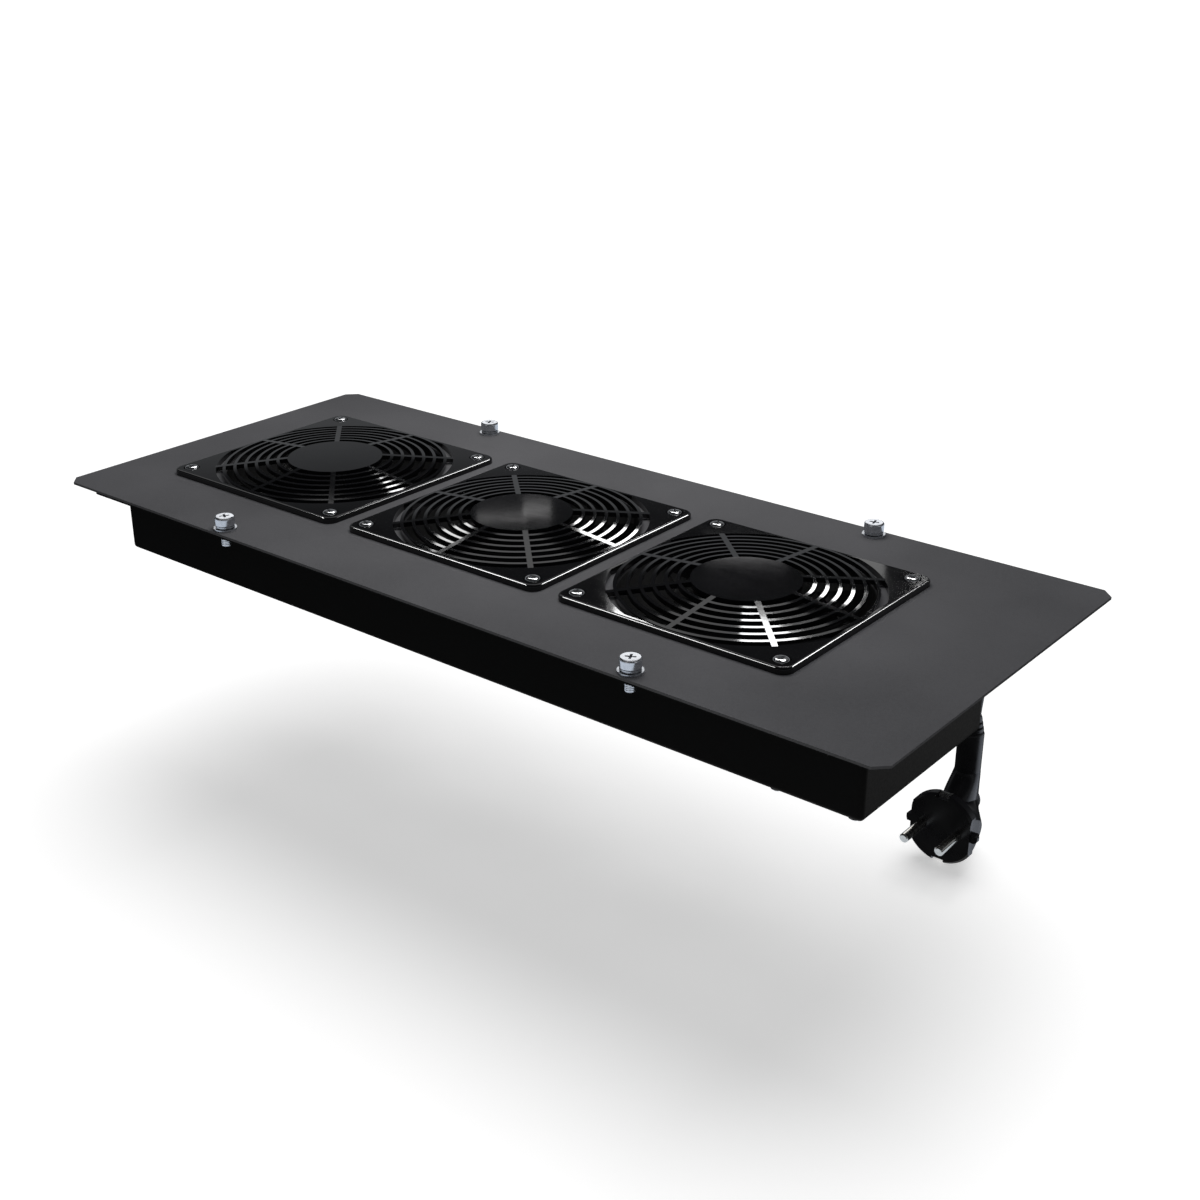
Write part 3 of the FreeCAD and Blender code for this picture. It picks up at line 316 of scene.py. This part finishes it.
sleeve_low, sleeve_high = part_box("plug_neck")
sleeve_end = sleeve_high[2] + SLEEVE_REACH
shoulder = sleeve_end - SLEEVE_SHOULDER
sleeve_rows = [(0.0, sleeve_end), (SLEEVE_MOUTH, sleeve_end)]
for rib in range(RIB_COUNT):
    rib_top = sleeve_end - RIB_START - rib * RIB_PITCH
    rib_radius = RIB_RADIUS + rib * RIB_GROWTH
    sleeve_rows += [
        (rib_radius, rib_top),
        (rib_radius + RIB_FLARE, rib_top - RIB_HEIGHT),
        (rib_radius - GROOVE_DEPTH, rib_top - RIB_HEIGHT - GROOVE_HEIGHT),
    ]
sleeve_rows += [
    (SLEEVE_RADIUS - SLEEVE_CHAMFER_IN, shoulder),
    (SLEEVE_RADIUS, shoulder - SLEEVE_CHAMFER_DOWN),
    (SLEEVE_RADIUS, sleeve_low[2]),
    (0.0, sleeve_low[2]),
]
sleeve = as_object("plug_sleeve", turned(sleeve_rows))
sleeve.location = ((sleeve_low[0] + sleeve_high[0]) / 2, (sleeve_low[1] + sleeve_high[1]) / 2, 0)
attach(sleeve, "tray")
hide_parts("plug_neck")

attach(cord, "tray")
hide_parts("power_cord")


# ---------------------------------------------------------------------------------------
# Fasteners, each at a turn of its own about its axis
# ---------------------------------------------------------------------------------------

random_source = random.Random(7)

MOUNT_HEAD = 4.75 * MM
MOUNT_FLAT_SHARE = 0.82
MOUNT_SIDE_SHARE = 0.78
MOUNT_SHANK = 2.5 * MM
MOUNT_TIP = 0.25 * MM
MOUNT_PITCH = 0.8 * MM
MOUNT_THREAD_DEPTH = 0.14 * MM
MOUNT_RECESS = (2.5 * MM, 0.55 * MM, 1.7 * MM)
FLANGE_LEVEL = 0.0

screw_low, screw_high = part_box("mounting_screws")
spring_low, spring_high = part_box("spring_washers")
mount_x = screw_high[0] - MOUNT_HEAD
mount_y = screw_high[1] - MOUNT_HEAD
mount_places = [(x, y, 0) for y in (-mount_y, mount_y) for x in (-mount_x, mount_x)]
mount_screw = cross_screw(
    "mounting_screw_1",
    screw_profile(
        MOUNT_HEAD, spring_high[2], screw_high[2], MOUNT_SHANK, FLANGE_LEVEL,
        screw_low[2], MOUNT_TIP, MOUNT_FLAT_SHARE, MOUNT_SIDE_SHARE,
    ),
    (screw_low[2] + MOUNT_TIP, FLANGE_LEVEL, MOUNT_PITCH, MOUNT_THREAD_DEPTH),
    MOUNT_RECESS,
)
mount_turns = [random_source.uniform(0, math.pi) for _ in mount_places]
mount_pieces = place_copies(
    mount_screw, "mounting_screw", mount_places, mount_turns,
    "tray", "mounting_screws",
)

SPRING_OUTER = 4.5 * MM
SPRING_INNER = 2.75 * MM
SPRING_GAP = 0.5 * MM
SPRING_STEPS = 64
WIRE_SHARE = 0.72
WIRE_EDGE_SHARE = 0.08


def split_washer(outer, inner, low, high, gap):
    """Spring washer: a square wire with broken edges, bent into one turn of a helix."""
    mesh = bmesh.new()
    thick = WIRE_SHARE * (high - low)
    edge = WIRE_EDGE_SHARE * thick
    rise = (high - low) - thick
    half_gap = gap / outer
    loops = []
    for index in range(SPRING_STEPS + 1):
        share = index / SPRING_STEPS
        angle = half_gap + share * (2 * math.pi - 2 * half_gap)
        base = low + rise * (1 - share)
        section = [
            (inner + edge, base), (outer - edge, base),
            (outer, base + edge), (outer, base + thick - edge),
            (outer - edge, base + thick), (inner + edge, base + thick),
            (inner, base + thick - edge), (inner, base + edge),
        ]
        x, y = math.cos(angle), math.sin(angle)
        loops.append([mesh.verts.new((r * x, r * y, z)) for r, z in section])
    corner_count = len(loops[0])
    for first, second in zip(loops, loops[1:]):
        for index in range(corner_count):
            following = (index + 1) % corner_count
            mesh.faces.new((first[index], second[index], second[following], first[following]))
    mesh.faces.new(loops[0])
    mesh.faces.new(list(reversed(loops[-1])))
    bmesh.ops.recalc_face_normals(mesh, faces=mesh.faces)
    return mesh


spring = as_object("spring_washer_1", split_washer(
    SPRING_OUTER, SPRING_INNER, spring_low[2], spring_high[2], SPRING_GAP,
))
spring_turns = [random_source.uniform(0, 2 * math.pi) for _ in mount_places]
spring_pieces = place_copies(
    spring, "spring_washer", mount_places, spring_turns, "tray", "spring_washers",
)

GUARD_HOLE = 52.4 * MM
GUARD_HEAD = 3.5 * MM
GUARD_HEAD_HEIGHT = 1.9 * MM
GUARD_FLAT_SHARE = 0.5
GUARD_SIDE_SHARE = 0.5
GUARD_SHANK = 1.95 * MM
GUARD_TIP = 0.3 * MM
GUARD_THREAD = 4.0 * MM
GUARD_PITCH = 0.7 * MM
GUARD_THREAD_DEPTH = 0.25 * MM
GUARD_RECESS = (2.2 * MM, 0.42 * MM, 1.4 * MM)

guard_low, guard_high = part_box("guard_screws")
guard_places = []
for fan in FANS:
    fan_low, fan_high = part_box(f"guard_{fan}")
    for y in (-GUARD_HOLE, GUARD_HOLE):
        for x in (-GUARD_HOLE, GUARD_HOLE):
            guard_places.append(((fan_low[0] + fan_high[0]) / 2 + x, y, 0))
thread_top = guard_low[2] + GUARD_THREAD
guard_screw = cross_screw(
    "guard_screw_1",
    screw_profile(
        GUARD_HEAD, guard_high[2] - GUARD_HEAD_HEIGHT, guard_high[2], GUARD_SHANK, thread_top,
        guard_low[2], GUARD_TIP, GUARD_FLAT_SHARE, GUARD_SIDE_SHARE,
    ),
    (guard_low[2] + GUARD_TIP, thread_top, GUARD_PITCH, GUARD_THREAD_DEPTH),
    GUARD_RECESS,
)
guard_turns = [random_source.uniform(0, math.pi) for _ in guard_places]
guard_screw_pieces = place_copies(
    guard_screw, "guard_screw", guard_places, guard_turns, "tray", "guard_screws",
)


# ---------------------------------------------------------------------------------------
# Materials
# ---------------------------------------------------------------------------------------

# Between these a noise's values usually lie
NOISE_LOW = 0.3
NOISE_HIGH = 0.7
# Paint: cells to the metre, shares of specks and clouds in its tone, and change of roughness
GRAIN = 2600.0
SPECK = 900.0
ORANGE_PEEL = 420.0
CLOUD = 9.0
SPECK_SHARE = 0.6
CLOUD_SHARE = 0.4
SMOOTHER = 0.05
ROUGHER = 0.06
# Mouldings: cells to the metre, stretch of the handling marks, shares of the roughness
FLOW_CLOUD = 30.0
HANDLING = 60.0
RIPPLE = 140.0
HANDLING_STRETCH = (1.0, 3.0, 1.0)
MOULDED_SMOOTHEST = 0.75
MOULDED_ROUGHEST = 1.45
# Platings: cells to the metre, stretch and depth of the fine marks, shares of the roughness
PLATING_CLOUD = 500.0
FINE_MARKS = 1800.0
MARKS_STRETCH = (1.0, 1.0, 5.0)
MARKS_DEPTH = 0.000004
PLATED_SMOOTHEST = 0.7
PLATED_ROUGHEST = 1.5


class Shader:
    """A material with its Principled shader, and short calls to add nodes and links."""

    def __init__(self, name, colour, roughness, metallic=0.0):
        self.material = bpy.data.materials.new(name)
        self.material.use_nodes = True
        self.tree = self.material.node_tree
        self.shader = self.tree.nodes["Principled BSDF"]
        self.shader.inputs["Base Color"].default_value = (*colour, 1.0)
        self.shader.inputs["Roughness"].default_value = roughness
        self.shader.inputs["Metallic"].default_value = metallic
        self.coordinates = self.node("ShaderNodeTexCoord").outputs["Object"]

    def node(self, kind, **settings):
        made = self.tree.nodes.new(kind)
        for name, value in settings.items():
            setattr(made, name, value)
        return made

    def link(self, source, target):
        self.tree.links.new(source, target)

    def noise(self, scale, detail, roughness, stretch=None):
        """Noise of that many cells to the metre."""
        texture = self.node("ShaderNodeTexNoise")
        texture.inputs["Scale"].default_value = scale
        texture.inputs["Detail"].default_value = detail
        texture.inputs["Roughness"].default_value = roughness
        source = self.coordinates
        if stretch:
            mapping = self.node("ShaderNodeMapping")
            mapping.inputs["Scale"].default_value = stretch
            self.link(source, mapping.inputs["Vector"])
            source = mapping.outputs["Vector"]
        self.link(source, texture.inputs["Vector"])
        return texture.outputs["Fac"]

    def spread(self, value, low, high):
        """Maps the usual values of a noise to a range."""
        mapped = self.node("ShaderNodeMapRange")
        mapped.inputs["From Min"].default_value = NOISE_LOW
        mapped.inputs["From Max"].default_value = NOISE_HIGH
        mapped.inputs["To Min"].default_value = low
        mapped.inputs["To Max"].default_value = high
        self.link(value, mapped.inputs["Value"])
        return mapped.outputs["Result"]

    def blend(self, factor, first, second):
        """Colour between the two."""
        mix = self.node("ShaderNodeMix", data_type="RGBA")
        mix.inputs["A"].default_value = (*first, 1.0)
        mix.inputs["B"].default_value = (*second, 1.0)
        self.link(factor, mix.inputs["Factor"])
        return mix.outputs["Result"]

    def set(self, socket, value):
        self.link(value, self.shader.inputs[socket])

    def bump(self, height, distance, strength=1.0):
        """Bump on top of those added before."""
        bump = self.node("ShaderNodeBump")
        bump.inputs["Distance"].default_value = distance
        bump.inputs["Strength"].default_value = strength
        self.link(height, bump.inputs["Height"])
        previous = self.shader.inputs["Normal"].links
        if previous:
            self.link(previous[0].from_socket, bump.inputs["Normal"])
        self.link(bump.outputs["Normal"], self.shader.inputs["Normal"])


def powder_coat(name, dark, light, roughness, grain_depth, specular=0.5):
    """Baked powder paint: fine sandy grain over soft, slow changes of tone."""
    coat = Shader(name, dark, roughness)
    coat.shader.inputs["Specular IOR Level"].default_value = specular
    grain = coat.noise(GRAIN, 3.0, 0.6)
    cloud = coat.noise(CLOUD, 3.0, 0.5)
    speck = coat.noise(SPECK, 2.0, 0.5)
    tone = coat.node("ShaderNodeMath", operation="MULTIPLY_ADD")
    coat.link(speck, tone.inputs[0])
    tone.inputs[1].default_value = SPECK_SHARE
    coat.link(coat.spread(cloud, 0.0, CLOUD_SHARE), tone.inputs[2])
    coat.set("Base Color", coat.blend(tone.outputs["Value"], dark, light))
    coat.set("Roughness", coat.spread(speck, roughness - SMOOTHER, roughness + ROUGHER))
    coat.bump(grain, grain_depth)
    coat.bump(coat.noise(ORANGE_PEEL, 2.0, 0.5), 2.0 * grain_depth, 0.5)
    return coat.material


def moulded(name, dark, light, roughness, sheen=0.5, ripple=0.00001):
    """Moulded plastic: nearly smooth, with slight flow ripples and handling marks."""
    plastic = Shader(name, dark, roughness)
    plastic.shader.inputs["Specular IOR Level"].default_value = sheen
    cloud = plastic.noise(FLOW_CLOUD, 4.0, 0.6)
    plastic.set("Base Color", plastic.blend(plastic.spread(cloud, 0.0, 1.0), dark, light))
    smear = plastic.noise(HANDLING, 6.0, 0.7, HANDLING_STRETCH)
    low, high = roughness * MOULDED_SMOOTHEST, roughness * MOULDED_ROUGHEST
    plastic.set("Roughness", plastic.spread(smear, low, high))
    plastic.bump(plastic.noise(RIPPLE, 2.0, 0.5), ripple)
    return plastic.material


def plated(name, dull, bright, roughness):
    """Plated steel: cloudy bright metal with fine marks."""
    metal = Shader(name, dull, roughness, 1.0)
    cloud = metal.noise(PLATING_CLOUD, 4.0, 0.6)
    metal.set("Base Color", metal.blend(metal.spread(cloud, 0.0, 1.0), dull, bright))
    low, high = roughness * PLATED_SMOOTHEST, roughness * PLATED_ROUGHEST
    metal.set("Roughness", metal.spread(cloud, low, high))
    metal.bump(metal.noise(FINE_MARKS, 3.0, 0.6, MARKS_STRETCH), MARKS_DEPTH)
    return metal.material


# A finish for each slot: its darker and lighter tone, roughness, and depth or sheen
FINISHES = {
    "plate_paint": powder_coat(
        "plate_coat", (0.037, 0.0372, 0.0404), (0.086, 0.0866, 0.094), 0.55, 0.00004,
    ),
    "housing_paint": powder_coat(
        "housing_coat", (0.005, 0.005, 0.005), (0.009, 0.009, 0.009), 0.5, 0.00002, 0.25,
    ),
    "cover_paint": powder_coat(
        "cover_coat", (0.004, 0.004, 0.004), (0.008, 0.008, 0.008), 0.5, 0.00002, 0.3,
    ),
    "guard_plastic": moulded(
        "guard_gloss", (0.0035, 0.0035, 0.004), (0.007, 0.007, 0.008), 0.045, 0.5, 0.000003,
    ),
    "fan_casting": moulded("fan_enamel", (0.006, 0.006, 0.006), (0.01, 0.01, 0.01), 0.45, 0.4),
    "impeller_plastic": moulded(
        "impeller_matt", (0.006, 0.006, 0.007), (0.012, 0.012, 0.013), 0.4, 0.4,
    ),
    "connector_plastic": moulded("connector_nylon", (0.01, 0.01, 0.01), (0.02, 0.02, 0.02), 0.5),
    "clip_plastic": moulded("clip_nylon", (0.01, 0.01, 0.01), (0.02, 0.02, 0.02), 0.5),
    "bushing_plastic": moulded("bushing_nylon", (0.006, 0.006, 0.006), (0.012, 0.012, 0.012), 0.4),
    "terminal_plastic": moulded("terminal_nylon", (0.72, 0.7, 0.64), (0.82, 0.8, 0.74), 0.4),
    "plug_plastic": moulded("plug_moulding", (0.004, 0.004, 0.005), (0.009, 0.009, 0.011), 0.28),
    "cord_sheath": moulded("cord_skin", (0.004, 0.004, 0.005), (0.009, 0.009, 0.01), 0.35),
    "lead_sheath": moulded("lead_skin", (0.01, 0.01, 0.01), (0.02, 0.02, 0.02), 0.45),
    "core_insulation": moulded("core_skin", (0.1, 0.2, 0.05), (0.2, 0.34, 0.08), 0.4),
    "zinc_screw": plated("zinc_bright", (0.62, 0.64, 0.68), (0.86, 0.88, 0.92), 0.22),
    "zinc_washer": plated("zinc_washer_skin", (0.5, 0.52, 0.56), (0.75, 0.77, 0.8), 0.3),
    "plated_screw": plated("nickel_bright", (0.7, 0.71, 0.73), (0.92, 0.92, 0.93), 0.16),
    "plated_nut": plated("zinc_nut_skin", (0.55, 0.56, 0.58), (0.75, 0.76, 0.78), 0.35),
    "electrical_steel": plated("lamination_skin", (0.3, 0.3, 0.32), (0.42, 0.42, 0.44), 0.4),
    "winding": plated("copper_wire", (0.6, 0.25, 0.1), (0.8, 0.38, 0.18), 0.35),
    "bearing_steel": plated("ground_steel", (0.6, 0.6, 0.62), (0.8, 0.8, 0.82), 0.2),
    "tinned_lug": plated("tin_skin", (0.65, 0.65, 0.64), (0.8, 0.8, 0.79), 0.3),
    "pin_nickel": plated("pin_skin", (0.62, 0.6, 0.56), (0.85, 0.83, 0.78), 0.18),
    "earth_spring": plated("spring_skin", (0.6, 0.6, 0.58), (0.78, 0.78, 0.76), 0.28),
}


def dress(piece, material):
    """Gives every face of a piece the material."""
    slots = piece.material_slots
    if not slots:
        piece.data.materials.append(material)
    for place in slots:
        place.material = material


for part in frame["record"]["subparts"]:
    dress(nodes[part["node"]], FINISHES[part["material_slot"]])
MADE_HERE = {
    "cord_sheath": [cord],
    "plug_plastic": [sleeve],
    "zinc_screw": mount_pieces,
    "zinc_washer": spring_pieces,
    "plated_screw": guard_screw_pieces,
}
for slot, pieces in MADE_HERE.items():
    for piece in pieces:
        dress(piece, FINISHES[slot])


# ---------------------------------------------------------------------------------------
# Floor
# ---------------------------------------------------------------------------------------

FLOOR_LEVEL = -0.1592
FLOOR_REACH = 9.0
FLOOR_TONE = 0.9
FLOOR_ROUGHNESS = 0.9
FLOOR_SHEEN = 0.1
FLOOR_GLOW = 0.46

floor_corners = [
    (-FLOOR_REACH, -FLOOR_REACH, 0), (FLOOR_REACH, -FLOOR_REACH, 0),
    (FLOOR_REACH, FLOOR_REACH, 0), (-FLOOR_REACH, FLOOR_REACH, 0),
]
floor_mesh = bpy.data.meshes.new("floor")
floor_mesh.from_pydata(floor_corners, [], [(0, 1, 2, 3)])
floor = bpy.data.objects.new("floor", floor_mesh)
floor.location = (0, 0, FLOOR_LEVEL)
scene.collection.objects.link(floor)
floor_paint = Shader("floor_paint", (FLOOR_TONE, FLOOR_TONE, FLOOR_TONE), FLOOR_ROUGHNESS)
floor_paint.shader.inputs["Specular IOR Level"].default_value = FLOOR_SHEEN
floor_paint.shader.inputs["Emission Color"].default_value = (1, 1, 1, 1)
floor_paint.shader.inputs["Emission Strength"].default_value = FLOOR_GLOW
# The floor is see-through from below, so that the tray's underside can be looked at
underneath = floor_paint.node("ShaderNodeNewGeometry").outputs["Backfacing"]
clear = floor_paint.node("ShaderNodeBsdfTransparent").outputs["BSDF"]
see_through = floor_paint.node("ShaderNodeMixShader")
surface = floor_paint.tree.nodes["Material Output"].inputs["Surface"]
floor_paint.link(underneath, see_through.inputs["Fac"])
floor_paint.link(floor_paint.shader.outputs["BSDF"], see_through.inputs[1])
floor_paint.link(clear, see_through.inputs[2])
floor_paint.link(see_through.outputs["Shader"], surface)
dress(floor, floor_paint.material)
floor.visible_diffuse = False
floor.visible_glossy = False
floor.visible_shadow = False


# ---------------------------------------------------------------------------------------
# Surroundings: white to the camera, soft light to the pieces, and to reflections a dark
# room with a glow over the horizon
# ---------------------------------------------------------------------------------------

WHITE = (1, 1, 1)
SOFT_LIGHT = 0.22
DARK_ROOM = 0.02
DARK_ROOM_COLOUR = (0.9, 0.95, 1.0)
HORIZON_GLOW = 0.25
HORIZON_COLOUR = (0.93, 0.96, 1.0)
# Sines of the elevations between which the glow comes up, and between which it fades
GLOW_RISES = (0.0, 0.2)
GLOW_FADES = (0.28, 0.37)

world = bpy.data.worlds.new("world")
scene.world = world
world.use_nodes = True
tree = world.node_tree


def surround(strength, colour=WHITE):
    """Even light from everywhere."""
    shade = tree.nodes.new("ShaderNodeBackground")
    shade.inputs["Color"].default_value = (*colour, 1)
    shade.inputs["Strength"].default_value = strength
    return shade.outputs["Background"]


def choose(factor, first, second):
    """The first where the factor is 0, the second where it is 1."""
    mix = tree.nodes.new("ShaderNodeMixShader")
    tree.links.new(factor, mix.inputs["Fac"])
    tree.links.new(first, mix.inputs[1])
    tree.links.new(second, mix.inputs[2])
    return mix.outputs["Shader"]


def ramp(value, span, start, end):
    """Smooth change from start to end while the value crosses the span."""
    mapped = tree.nodes.new("ShaderNodeMapRange")
    mapped.interpolation_type = "SMOOTHERSTEP"
    mapped.inputs["From Min"].default_value = span[0]
    mapped.inputs["From Max"].default_value = span[1]
    mapped.inputs["To Min"].default_value = start
    mapped.inputs["To Max"].default_value = end
    tree.links.new(value, mapped.inputs["Value"])
    return mapped.outputs["Result"]


ray = tree.nodes.new("ShaderNodeLightPath")
direction = tree.nodes.new("ShaderNodeTexCoord")
parts = tree.nodes.new("ShaderNodeSeparateXYZ")
tree.links.new(direction.outputs["Generated"], parts.inputs["Vector"])
sine = parts.outputs["Z"]
glow = tree.nodes.new("ShaderNodeMath")
glow.operation = "MULTIPLY"
tree.links.new(ramp(sine, GLOW_FADES, 1.0, 0.0), glow.inputs[0])
tree.links.new(ramp(sine, GLOW_RISES, 0.0, 1.0), glow.inputs[1])
dark_room = surround(DARK_ROOM, DARK_ROOM_COLOUR)
horizon = surround(HORIZON_GLOW, HORIZON_COLOUR)
reflected = choose(glow.outputs["Value"], dark_room, horizon)
seen = choose(ray.outputs["Is Glossy Ray"], surround(SOFT_LIGHT), reflected)
seen = choose(ray.outputs["Is Camera Ray"], seen, surround(1.0))
tree.links.new(seen, tree.nodes["World Output"].inputs["Surface"])


# ---------------------------------------------------------------------------------------
# Lights
# ---------------------------------------------------------------------------------------

REFLECTOR_DISTANCE = 12.0
KEY_STRENGTH = 1.75
KEY_SPREAD = math.radians(50)
KEY_DIRECTION = Vector((0.10, -0.33, -1.0))
CENTRE = (0, 0, 0)


def panel(name, place, target, width, height, radiance, colour=WHITE):
    """Rectangular soft light of that radiance, which faces the target and isn't seen itself."""
    light = bpy.data.lights.new(name, "AREA")
    light.shape = "RECTANGLE"
    light.size = width
    light.size_y = height
    light.energy = radiance * math.pi * width * height
    light.color = colour
    lamp = bpy.data.objects.new(name, light)
    lamp.location = place
    aim = Vector(target) - Vector(place)
    lamp.rotation_mode = "QUATERNION"
    lamp.rotation_quaternion = aim.to_track_quat("-Z", "Y")
    lamp.visible_camera = False
    scene.collection.objects.link(lamp)
    return lamp


def only_for(lamp, pieces):
    """Lets a light fall on these pieces alone."""
    group = bpy.data.collections.new(lamp.name)
    for piece in pieces:
        group.objects.link(piece)
    lamp.light_linking.receiver_collection = group


def reflector(name, azimuth, elevation, wide, high, radiance, pieces, colour=WHITE):
    """Far window that shows only as a reflection in the pieces.

    Its middle and its size are in degrees of the sky, with azimuth 0 along +X.
    """
    az = math.radians(azimuth)
    el = math.radians(elevation)
    place = Vector((math.cos(az) * math.cos(el), math.sin(az) * math.cos(el), math.sin(el)))
    width = 2 * REFLECTOR_DISTANCE * math.tan(math.radians(wide) / 2)
    height = 2 * REFLECTOR_DISTANCE * math.tan(math.radians(high) / 2)
    lamp = panel(name, REFLECTOR_DISTANCE * place, CENTRE, width, height, radiance, colour)
    lamp.visible_diffuse = False
    only_for(lamp, pieces)


key_data = bpy.data.lights.new("key", "SUN")
key_data.energy = KEY_STRENGTH
key_data.angle = KEY_SPREAD
key = bpy.data.objects.new("key", key_data)
key.rotation_mode = "QUATERNION"
key.rotation_quaternion = KEY_DIRECTION.to_track_quat("-Z", "Y")
key.visible_glossy = False
key.visible_camera = False
scene.collection.objects.link(key)

# Windows and their rims in the glossy guards
guards = [nodes[f"guard_{fan}"] for fan in FANS]
far_guard, middle_guard, near_guard = ([guard] for guard in guards)
reflector("rim_front", 205, 50, 30, 8, 36, guards)
reflector("rim_right", 68, 38, 20, 9, 36, guards)
reflector("ceiling", 120, 50, 90, 36, 0.7, guards)
reflector("band_left", 127.8, 24, 1.2, 8, 0.7, near_guard)
reflector("band_right", 118.2, 24, 1.2, 8, 0.9, near_guard)
reflector("crescent", 123.0, 22.2, 3.0, 0.5, 1.0, near_guard)
reflector("disc_patch", 131.2, 20.75, 1.0, 0.5, 0.9, middle_guard)
reflector("disc_streak", 132.6, 21.0, 1.8, 0.3, 0.7, middle_guard)
reflector("window_low", 119.8, 36, 5.6, 2.4, 16, near_guard)
reflector("window_edge", 127.3, 24.6, 1.6, 0.5, 14, near_guard)
reflector("window_right", 115, 25.2, 2.2, 4, 16, near_guard)
reflector("window_middle", 124.2, 26.2, 2.6, 4.6, 16, middle_guard)
reflector("window_left", 138.5, 27, 1.4, 4, 6, middle_guard)
reflector("window_far", 134, 28.5, 1.0, 1.4, 12, far_guard)

# Sky and floor in the bright metals
bright = mount_pieces + spring_pieces + [nodes["flat_washers"], nodes["plug_pins"]]
reflector("bright_sky", 128, 24, 34, 22, 1.2, bright)
reflector("bright_overhead", 128, 80, 60, 50, 0.4, bright)
reflector("bright_front", 266, 16, 24, 30, 0.3, bright)
reflector("bright_right", 2, 16, 24, 30, 0.3, bright)
bright_floor = panel("bright_floor", (0, 0, -4), CENTRE, 40, 40, 0.7, (0.82, 0.9, 1.0))
bright_floor.visible_diffuse = False
only_for(bright_floor, bright)

# Light thrown back up by the floor, weaker on the walls than on the underside
DARK_SIDED = ("housing", "plug_body", "plug_neck", "plug_pins", "flat_washers", "power_cord")
bounce = panel("underside", (0, 0, -2), CENTRE, 4, 4, 1.2)
only_for(bounce, [nodes[name] for name in nodes if name not in DARK_SIDED])
bounce = panel("underside_walls", (0, 0, -2), CENTRE, 3, 3, 0.3)
only_for(bounce, [nodes["housing"], nodes["plug_body"], sleeve, cord])

# Glints on the guard screws
reflector("glints", 100, 60, 14, 10, 14, guard_screw_pieces)
reflector("glint_row", 128, 44, 26, 5, 10, guard_screw_pieces)

# Pool of light on the plate's middle
WARM = (1.0, 0.98, 0.92)
GLOW_SIZE = 0.2
glow_place = (-0.05, 0.07, 0.3)
glow_target = (-0.05, 0.07, 0)
plate_glow = panel("plate_glow", glow_place, glow_target, GLOW_SIZE, GLOW_SIZE, 7.72, WARM)
plate_glow.visible_glossy = False
only_for(plate_glow, [nodes["top_plate"]])

# Sheen on the end wall and on the plug
reflector("side_glow", 50, -8, 40, 40, 0.5, [nodes["housing"], nodes["wiring_cover"]])
reflector("plug_glow", 42, -18, 50, 40, 1.1, [nodes["plug_body"], sleeve, cord], (0.82, 0.88, 1.0))

scene.view_settings.view_transform = "Standard"


# ---------------------------------------------------------------------------------------
# Last update of the scene
# ---------------------------------------------------------------------------------------

bpy.context.view_layer.update()
